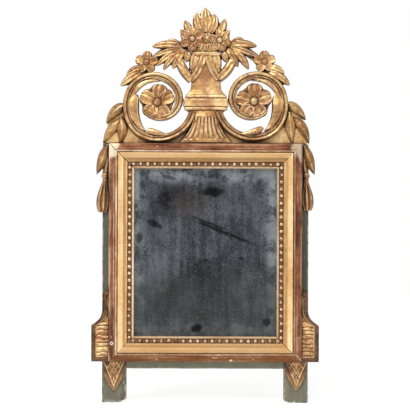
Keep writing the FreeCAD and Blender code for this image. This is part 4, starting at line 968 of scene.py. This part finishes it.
def old_wood(name, grain, pale=0.0):
    """Unpainted old wood, its grain along the axis that grain stretches. Pale wood is dusty and grey."""
    finish = Finish(name)
    lines = finish.noise(120, 7, 0.7, finish.stretch(grain), 0.6)
    rings = finish.noise(28, 4, 0.55, finish.stretch(grain), 1.5)
    wood = finish.layered(
        (lines * 0.55 + rings * 0.45).ramp(WOOD_TONES),
        (finish.noise(14, 5, 0.6).mask(0.5, 0.75) * 0.5, WOOD_STAIN),
        (finish.noise(40, 5, 0.7).mask(0.56, 0.8) * 0.25 + pale, WOOD_DUST),
        # painted shade where other surfaces stand close
        (finish.shelter(SEAM_REACH).mask(0.8, 0.35) * 0.8, WOOD_SEAM_SHADE))
    finish.bump(lines, 0.4, 0.6 * MM)
    return finish.shade(base_color=wood, roughness=0.78)


SILVER_TONES = ((0.43, (0.031, 0.033, 0.037)), (0.5, (0.086, 0.095, 0.107)), (0.57, (0.194, 0.212, 0.232)))
SILVER_HAZE = (0.34, 0.375, 0.39)
SILVER_LOW = (0.04, 0.041, 0.036)
SILVER_BLUSH = (0.115, 0.088, 0.076)
SILVER_SPECKS = (0.36, 0.37, 0.37)
SILVER_LOST = (0.008, 0.008, 0.009)
SILVER_PITS = (0.01, 0.01, 0.01)
BLUSH_SPOT = (-31 * MM, 278 * MM, 45 * MM, 40 * MM)
# marks on the glass, in mm: place across and up, half-width, half-height, turn and strength
SMUDGES = (
    (11.5, 299.5, 27, 11, 0, 0.9), (-15.2, 58.5, 14, 10, -0.2, 0.95), (-0.5, 179, 6, 5, 0, 0.7),
    (63.4, 182.5, 6, 5, 0, 0.7), (-91, 242.8, 20, 7.5, 0.5, 0.8), (108.5, 69, 10, 9, 0, 0.8),
    (-65, 325, 16, 5, 0.25, 0.6), (-113, 291, 8, 7, 0, 0.55), (-117, 217.5, 9, 12, 0, 0.8),
    (-74, 287, 19, 16, 0, 0.5), (33, 228, 82, 4.4, 0.382, 0.8), (6, 244.5, 52, 3.6, 0.36, 0.7),
)


def old_mirror():
    """Darkened silvering: mottled slate, hazy towards the edges, with smudges, scratches and fine specks."""
    finish = Finish("old_mirror")
    low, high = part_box("mirror_plate")
    middle, half = (low + high) / 2, (high - low) / 2
    broad = finish.noise(9, 5, 0.6)
    mottle = finish.noise(120, 7, 0.75)
    drips = finish.noise(90, 5, 0.65, finish.stretch((1.0, 1.0, 0.12)))
    tone = broad * 0.42 + mottle * 0.13 + (finish.noise(330, 3, 0.6) * 0.23 + drips * 0.22)
    sides = []
    for axis, centre, reach in (("X", middle.x, half.x), ("Z", middle.z, half.z)):
        away = finish.math("SUBTRACT", finish.level(axis), centre, clamp=False)
        sides.append(finish.size(finish.math("DIVIDE", away, reach, clamp=False)))
    rim = finish.math("MAXIMUM", *sides, clamp=False)
    haze = rim.mask(0.68, 0.9) * finish.noise(30, 5).mask(0.36, 0.62)
    layers = [
        (haze * 0.72, SILVER_HAZE),
        (finish.level("Z").mask(middle.z, middle.z - half.z / 2) * 0.62, SILVER_LOW),
        (finish.oval(*BLUSH_SPOT).mask(1.0, 0.2) * 0.5, SILVER_BLUSH)]
    ragged = finish.noise(85, 4, 0.6)
    for x, z, wide, tall, turn, strength in SMUDGES:
        away = finish.oval(x * MM, z * MM, wide * MM, tall * MM, turn)
        away = finish.math("ADD", away, ragged, clamp=False)
        layers.append((away.mask(1.5, 0.95) * strength, SILVER_LOST))
    layers.append((finish.noise(260, 2, 0.5).mask(0.64, 0.7) * 0.2, SILVER_SPECKS))
    layers.append((finish.noise(210, 2, 0.5).mask(0.3, 0.26), SILVER_PITS))
    silver = finish.layered(tone.ramp(SILVER_TONES), *layers)
    finish.bump(broad, 0.03, 1 * MM)
    return finish.shade(base_color=silver, metallic=0.92, roughness=0.16 + (haze + mottle * 0.4) * 0.4)


IRON_TONES = ((0.35, (0.03, 0.028, 0.027)), (0.65, (0.095, 0.088, 0.082)))
RUST = (0.115, 0.048, 0.02)


def old_iron():
    """Hand-forged iron, browned by rust."""
    finish = Finish("old_iron")
    rust = finish.noise(160, 6, 0.7).mask(0.48, 0.64)
    colour = finish.mix(rust, finish.noise(300, 5).ramp(IRON_TONES), RUST)
    finish.bump(finish.noise(380, 6, 0.7), 0.4, 0.3 * MM)
    return finish.shade(base_color=colour, metallic=0.85 - rust * 0.7, roughness=0.42 + rust * 0.35)


ALONG_X = (0.1, 1.0, 1.0)
ALONG_Z = (1.0, 1.0, 0.1)
GILDING = gilding("gilding")
BOARD_GILDING = gilding("board_gilding", rub=0.56, chip=0.8, bright=0.06)
URN_GILDING = gilding("urn_gilding", rub=0.54, bright=0.03, middle=15 * MM)
BRIGHT_GILDING = gilding("bright_gilding", rub=0.6, bright=0.07, middle=34 * MM)
BRACKET_GILDING = gilding("bracket_gilding", rub=0.48, bright=-0.05, border=True)
DROP_GILDING = gilding("drop_gilding", rub=0.4, bright=-0.02)
# darker copy of the gilding: painted shade for the rosettes and bouquet flowers, which face the light
SHADED_FLOWER_GILDING = gilding("shaded_flower_gilding", rub=0.46, bright=-0.045)
FOOT_GILDING = gilding("foot_gilding", rub=0.27, painted_shade_reach=3 * MM, bright=0.15, border=True)
# a copy for each side: the dulling of the top and bottom runs, and the browned band and lip of the bottom
# run, are painted shade that takes down their lit tone
MOULDING_GILDING = {
    "bottom": moulding_gilding(
        "bottom_moulding_gilding", ALONG_X, dulled_and_shaded=0.8, brown_lip=0.75, brown_band=0.6, brown_step=0.5),
    "top": moulding_gilding("top_moulding_gilding", ALONG_X, dulled_and_shaded=0.65, brown_lip=0.8),
    "left": moulding_gilding("left_moulding_gilding", ALONG_Z),
    "right": moulding_gilding("right_moulding_gilding", ALONG_Z, brown_lip=0.55, brown_step=0.75),
}
GREEN_PAINT = green_paint("green_paint")
# the rails' paint is made paler as painted light against the moulding's shadow
LIT_RAIL_PAINT = green_paint("lit_rail_paint", 0.45)
UPRIGHT_WOOD = old_wood("upright_wood", (1.0, 1.0, 0.08))
LEVEL_WOOD = old_wood("level_wood", (0.08, 1.0, 1.0))
BOARD_WOOD = old_wood("board_wood", (0.06, 1.0, 1.0), 0.28)
MIRROR = old_mirror()
IRON = old_iron()
CARVED = (GILDING, UPRIGHT_WOOD)
FLOWERS = (SHADED_FLOWER_GILDING, UPRIGHT_WOOD)


# Pediment

def make_pediment():
    worn_copy(
        "pediment_board", (BOARD_GILDING, UPRIGHT_WOOD), "ground_board", voxel=1.1 * MM, uneven=0.3 * MM,
        rounds=2)
    for side in SIDES:
        centre = SCROLL_CENTRES_PX[side]
        petals = flower(
            centre, ROSETTE_PETALS[side], ROSETTE_REACH_PX, ROSETTE_WIDTH_PX, ROSETTE_RISE, BOSS_RADIUS,
            PETAL_CUT)
        leaflets = flower(
            centre, between(ROSETTE_PETALS[side]), LEAFLET_REACH_PX, LEAFLET_WIDTH_PX, LEAFLET_RISE,
            BOSS_RADIUS)
        carved("rosette_" + side, petals + leaflets, FLOWERS)
        foliage = blades(ACANTHUS_PX[side], ACANTHUS_RISE, curl_shape, ACANTHUS_CUT)
        carved("scroll_" + side, [scroll_band(side)] + foliage, CARVED)
        for name, table, rise, look in (
                ("bouquet_flower_", BOUQUET_PX, BOUQUET_RISE, FLOWERS),
                ("garland_flower_", GARLAND_FLOWER_PX, PETAL_RISE, CARVED)):
            carved(name + side, flower(*table[side], rise, SMALL_BOSS_RADIUS), look)
        for name, table in (("spray_", SPRAY_PX), ("garland_leaf_", GARLAND_LEAF_PX)):
            carved(name + side, blades(table[side], LEAF_RISE, finger_shape, FINGER_CUT), CARVED)
        carved("laurel_" + side, blades(LAUREL_PX[side], LEAF_RISE, leaf_shape, LAUREL_CUT), CARVED)
        arms = blades(SWAG_PX[side][:SWAG_ARMS], SWAG_RISE, ribbon_shape, SWAG_CUT)
        fold = blades(SWAG_PX[side][SWAG_ARMS:], FOLD_RISE, ribbon_shape, SWAG_CUT)
        carved("swag_" + side, arms + fold, CARVED)
    leaves = blades(BUD_LEAVES_PX, LEAF_RISE, finger_shape, FINGER_CUT)
    leaves += blades(BOUQUET_GROUND_PX, GROUND_RISE, ribbon_shape, GROUND_CUT)
    carved("bouquet_bud", flower(*BUD_PX, BUD_RISE, BUD_BOSS_RADIUS) + leaves, CARVED)
    lobes = blades(CREST_PX[:CREST_LOBES], LEAF_RISE, finger_shape, CREST_CUT)
    sides = blades(CREST_PX[CREST_LOBES:], LEAF_RISE, finger_shape, FINGER_CUT)
    carved("crest_leaf", lobes + sides, CARVED)
    carved("urn_body", [turned(URN_BODY_PX, 2.6)], (URN_GILDING, UPRIGHT_WOOD))
    carved("urn_collar", [turned(URN_COLLAR_PX, 6.0)], (BRIGHT_GILDING, UPRIGHT_WOOD))
    carved("urn_foot", [turned(URN_FOOT_PX, 3.0, FLUTES)], CARVED)


# Moulding

def moulding_frame(side):
    """Length of a moulding, and the function that puts its own places into the shared frame."""
    width, height = 2 * HALF, TOP
    lay = {
        "bottom": (width, lambda t, a: (t, a)),
        "top": (width, lambda t, a: (-t, height - a)),
        "left": (height, lambda t, a: (-HALF + a, height / 2 - t)),
        "right": (height, lambda t, a: (HALF - a, height / 2 + t)),
    }
    return lay[side]


def moulding_skin(length, lay, gaps):
    """The moulding without its pearls, and the points of its section."""
    points = np.array(MOULDING_SECTION) * MM
    shares = np.linspace(0, 1, SECTION_STEPS + 1)[:-1, None]
    parts = [a + (b - a) * shares for a, b in zip(points, points[1:])]
    section = np.concatenate(parts + [points[-1:]])
    across, height = section.T[:, None, :]
    low = -length / 2 + across + gaps[0] * MM
    high = length / 2 - across - gaps[1] * MM
    t = low + (high - low) * np.linspace(0, 1, MOULDING_STATIONS)[:, None]
    x, z = lay(t, across + 0 * t)
    return raised(x, z, height + 0 * t, seat=0.0), section


def pearl_skins(side, length, lay):
    """Pearls of slightly uneven size in the moulding's channel."""
    dice = random.Random("pearls " + side)
    run = length - 2 * PEARL_LINE * MM
    count = int(run / (PEARL_PITCH * MM))
    skins = []
    for index in range(count):
        t = -run / 2 + run * (index + 0.5 + dice.uniform(-PEARL_SHIFT, PEARL_SHIFT)) / count
        radius = PEARL_RADIUS * MM * dice.uniform(*PEARL_SIZES)
        x, z = lay(t, (PEARL_LINE + dice.uniform(-PEARL_STRAY, PEARL_STRAY)) * MM)
        skins.append(ball((x, z), radius, GROUND + PEARL_FLOOR * MM, rings=9, spokes=18))
    return skins


def make_moulding(side):
    length, lay = moulding_frame(side)
    body, section = moulding_skin(length, lay, MITRE_GAPS[side])
    skins = [body] + pearl_skins(side, length, lay)
    item = linked("gilded_moulding_" + side, new_mesh("moulding_" + side, skins))
    worked(item, [swell(HAND_WORK, MOULDING_SWELL)])
    above = (-places_of(item.data)[:, 1] - GROUND) / MM - PEARL_FLOOR
    shares = PEARL_ZONE + np.clip(above / PEARL_RADIUS, 0, 1)
    # the body's points come first: its front, then the same points behind
    shares[:len(body[0])] = np.tile(section[:, 0] / (MOULDING_WIDTH * MM), 2 * MOULDING_STATIONS)
    note(item.data, "across", shares)
    finished(item, "moulding_" + side, "gilding", MOULDING_GILDING[side])


# Sides and feet

def make_drop(side, sign):
    shapes = DROP_PX[side]
    spot = drop_spot(sign)
    leaf = blade(shapes["leaf"], shapes["widths"][0], DROP_RISE, leaf_shape, LAUREL_CUT, spot)
    bud = blade(shapes["bud"], shapes["widths"][1], DROP_RISE, bud_shape, BUD_CUT, spot)
    stem = blade(shapes["stem"], STEM_WIDTH_PX, STEM_RISE, ribbon_shape, LAUREL_CUT, spot)
    knot = ball(spot(np.array(shapes["knot"])), KNOT_RADIUS, GROUND, DROP_RISE * KNOT_LIFT_SHARE)
    carved("drop_" + side, [leaf, bud, stem, knot], (DROP_GILDING, UPRIGHT_WOOD))


def bracket_edge(level):
    """How far the bracket's outline stands out at each level, in mm."""
    share = np.clip((level - BRACKET_BASE_HEIGHT) / (BRACKET_FLARE_HEIGHT - BRACKET_BASE_HEIGHT), 0, 1)
    cut = BRACKET_CUT * np.clip(1 - (BRACKET_HEIGHT - level) / BRACKET_CUT, 0, 1)
    return BRACKET_NECK + (BRACKET_REACH - BRACKET_NECK) * (1 - share) ** BRACKET_SWEEP - cut


def bracket_margin(x, level):
    """Distance in from the bracket's outline, in mm. The edge at the moulding doesn't count."""
    return np.minimum(bracket_edge(level) - x, np.minimum(level, BRACKET_HEIGHT - level))


def make_bracket(side, sign):
    rows, columns = BRACKET_GRID
    level, share = grid(np.linspace(0, BRACKET_HEIGHT, rows), np.linspace(0, 1, columns))
    x = BRACKET_CLEARANCE + (bracket_edge(level) - BRACKET_CLEARANCE) * share
    edge = bracket_margin(x, level)
    height = BRACKET_DEPTH - PANEL_DEPTH * smooth_step(BORDER - 0.8, BORDER, edge)
    height -= BORDER_FALL * (1 - np.sqrt(1 - np.clip(1 - edge / BORDER_ROUND, 0, 1) ** 2))
    bead = np.clip(1 - np.abs(edge - BORDER - FILLET / 2) / (FILLET / 2), 0, 1) ** 0.6
    height += bead * FILLET_RISE
    inside = smooth_step(BORDER + FILLET, BORDER + FILLET + 0.5, edge)
    pitch = (PANEL_TOP - BORDER - FILLET) / RIDGES
    drift = RIDGE_DRIFT * np.sin(0.21 * level + 1.3 * sign)
    drift += 0.5 * RIDGE_DRIFT * np.sin(0.3 * x + 0.13 * level)
    wave = np.abs(np.sin(math.pi * (level + drift - BORDER - FILLET) / pitch)) ** 0.8
    height += inside * RIDGE_HEIGHT * wave * (level < PANEL_TOP)
    body = raised(sign * (HALF + x * MM), level * MM, height * MM, seat=0.0)
    mesh = carved("bracket_" + side, [body], (BRACKET_GILDING, UPRIGHT_WOOD)).data
    spots = places_of(mesh)
    edge = bracket_margin((np.abs(spots[:, 0]) - HALF) / MM, spots[:, 2] / MM)
    # the border note gives dark brown and painted shade, darker towards the outline; the fillet note gives
    # the painted highlight
    graded = 1 - 0.6 * smooth_step(0.0, BORDER, edge)
    note(mesh, "border", graded * (1 - smooth_step(BORDER - 1.2, BORDER + 0.4, edge)))
    note(mesh, "fillet", line(edge - BORDER - FILLET / 2, FILLET / 3))


def foot_leaf_lines(x, u):
    """The bright V on a foot leaf, what lies within it, and the crossed lines there."""
    x = np.abs(x)
    reach = x + V_SLOPE * u
    veil = line(reach - V_REACH, LINE_HALF)
    within = smooth_step(V_REACH + 0.02, V_REACH - 0.06, reach)
    chevrons = line((x - CHEVRON_SLOPE * u) % CHEVRON_PITCH - CHEVRON_PITCH / 2, 0.08)
    cross = line(x - CROSS_SLOPE * np.abs(u - CROSS_LEVEL), LINE_HALF)
    return veil, within, np.maximum(0.6 * chevrons, cross) * within * (1 - veil)


def make_foot_leaf(side):
    low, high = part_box("foot_leaf_" + side)
    middle, half = (low.x + high.x) / 2, (high.x - low.x) / 2
    rows, columns = FOOT_LEAF_GRID
    u, v = grid(np.linspace(0, 1, rows), np.linspace(-1, 1, columns))
    x = v * np.maximum(0.05, 1 - u ** 2.5)
    rim = 0.2 * line(np.abs(v) - 0.88, 0.09)
    veil, within, hatch = foot_leaf_lines(x, u)
    calyx = smooth_step(0.3, 0.05, u) * np.clip(1 - np.abs(x) / 0.42, 0, 1)
    height = 0.42 + 0.13 * within + 0.45 * np.maximum(rim, veil) + 0.3 * hatch + 0.3 * calyx
    height = np.clip(height, 0, 1) * (1 - 0.6 * smooth_step(0.9, 1.0, np.abs(v)))
    height = height * (1 - 0.5 * smooth_step(0.7, 1.0, u)) * FOOT_LEAF_RISE
    body = raised(middle + x * half, high.z - u * FOOT_LEAF_LENGTH[side], height)
    mesh = carved("foot_leaf_" + side, [body], (FOOT_GILDING, UPRIGHT_WOOD)).data
    spots = places_of(mesh)
    u = (high.z - spots[:, 2]) / FOOT_LEAF_LENGTH[side]
    veil, within, hatch = foot_leaf_lines((spots[:, 0] - middle) / half, u)
    # the border note gives dark brown and painted shade outside the V, more near the top; the fillet note
    # gives painted highlights on the V and crossed lines
    note(mesh, "border", (0.23 + 0.4 * smooth_step(0.5, 0.0, u)) * (1 - within))
    note(mesh, "fillet", 0.85 * veil + 0.45 * hatch)


def wear_foot(mesh, sign):
    """Break the lower edge of a foot: a lost inner corner and small chips along the front."""
    spots = places_of(mesh)
    inner = (np.abs(spots[:, 0]) - STILE_INNER) / (STILE_OUTER - STILE_INNER)
    loss = LOST_CORNER[sign] * smooth_step(0.3, 0.02, inner)
    ripple = np.sin(31 * inner + 2 * sign) * np.sin(13 * inner + sign)
    loss = loss + FOOT_CHIP * np.clip(ripple, 0, 1) * smooth_step(-0.6 * GROUND, -0.95 * GROUND, spots[:, 1])
    share = np.clip(1 - (spots[:, 2] - FOOT_LOW) / FOOT_WEAR_REACH, 0, 1)
    spots[:, 2] += loss * share
    mesh.vertices.foreach_set("co", spots.ravel())
    mesh.update()


def make_frame():
    for side, sign in SIDES.items():
        stile = worn_copy("stile_" + side, (GREEN_PAINT, UPRIGHT_WOOD), "green_paint")
        wear_foot(stile.data, sign)
    for node in ("top_rail", "bottom_rail"):
        worn_copy(node, (LIT_RAIL_PAINT, LEVEL_WOOD), "green_paint")


def dress_nodes():
    """Materials of the nodes whose shape is kept."""
    looks = {
        IRON: ("backboard_nails", "batten_screws", "hanger_plate", "hanger_ring", "hanger_screws"),
        GILDING: ("moulding_nails", "bracket_nails"),
        BOARD_WOOD: ("backboard_lower", "backboard_upper"),
        LEVEL_WOOD: ("glazing_blocks", "frame_pegs"),
        UPRIGHT_WOOD: ("pediment_batten", "pediment_dowels"),
        MIRROR: ("mirror_plate",),
    }
    for material, names in looks.items():
        for name in names:
            dress(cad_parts[name], material)


# Stage

def make_stage():
    corners = [
        (x * FLOOR_HALF, y * FLOOR_HALF, FOOT_LOW) for x, y in ((-1, -1), (1, -1), (1, 1), (-1, 1))]
    mesh = bpy.data.meshes.new("floor")
    mesh.from_pydata(corners, [], [(0, 1, 2, 3)])
    floor = linked("floor", mesh)
    finish = Finish("pale_floor")
    tone = finish.noise(3, 3).ramp(((0.3, (0.29, 0.29, 0.285)), (0.7, (0.31, 0.31, 0.305))))
    mesh.materials.append(finish.shade(
        base_color=tone, roughness=0.9, emission_color=(1.0, 1.0, 1.0), emission_strength=FLOOR_GLOW))

    world = bpy.data.worlds.new("studio")
    world.use_nodes = True
    tree = world.node_tree
    sky = tree.nodes["Background"]
    sky.inputs["Color"].default_value = (1.0, 1.0, 1.0, 1.0)
    rays = tree.nodes.new("ShaderNodeLightPath")
    glow = tree.nodes.new("ShaderNodeMapRange")
    glow.inputs["To Min"].default_value = AMBIENT
    glow.inputs["To Max"].default_value = 1.0
    tree.links.new(rays.outputs["Is Camera Ray"], glow.inputs["Value"])
    tree.links.new(glow.outputs["Result"], sky.inputs["Strength"])
    bpy.context.scene.world = world

    middle = Vector((0, -GROUND, (FOOT_LOW + APEX) / 2))
    for name, place, size, power in LIGHTS:
        light = bpy.data.lights.new(name, "AREA")
        light.size = size
        light.energy = power
        item = linked(name, light)
        item.location = place
        item.rotation_euler = (middle - item.location).to_track_quat("-Z", "Y").to_euler()


def make_camera():
    """A long lens straight in front. The frame's middle and lean are read from the photograph."""
    lens, sensor = 110.0, 36.0
    middle_px = (205.0, 205.0)
    axis_px = 205.5
    low_edge_px = 361.0
    lean = math.radians(-0.2)
    view_width = PHOTO_PX * PIXEL
    camera = bpy.data.cameras.new("camera")
    camera.lens = lens
    camera.sensor_width = sensor
    camera.clip_end = 20.0
    item = linked("camera", camera)
    distance = view_width * lens / sensor
    item.location = (
        (middle_px[0] - axis_px) * PIXEL, -GROUND - distance, (low_edge_px - middle_px[1]) * PIXEL)
    item.rotation_euler = (math.radians(90), lean, 0)
    bpy.context.scene.camera = item
    bpy.context.scene.view_settings.view_transform = "Standard"


make_frame()
make_pediment()
for moulding in MITRE_GAPS:
    make_moulding(moulding)
for side_name, side_sign in SIDES.items():
    make_drop(side_name, side_sign)
    make_bracket(side_name, side_sign)
    make_foot_leaf(side_name)
dress_nodes()
make_stage()
make_camera()
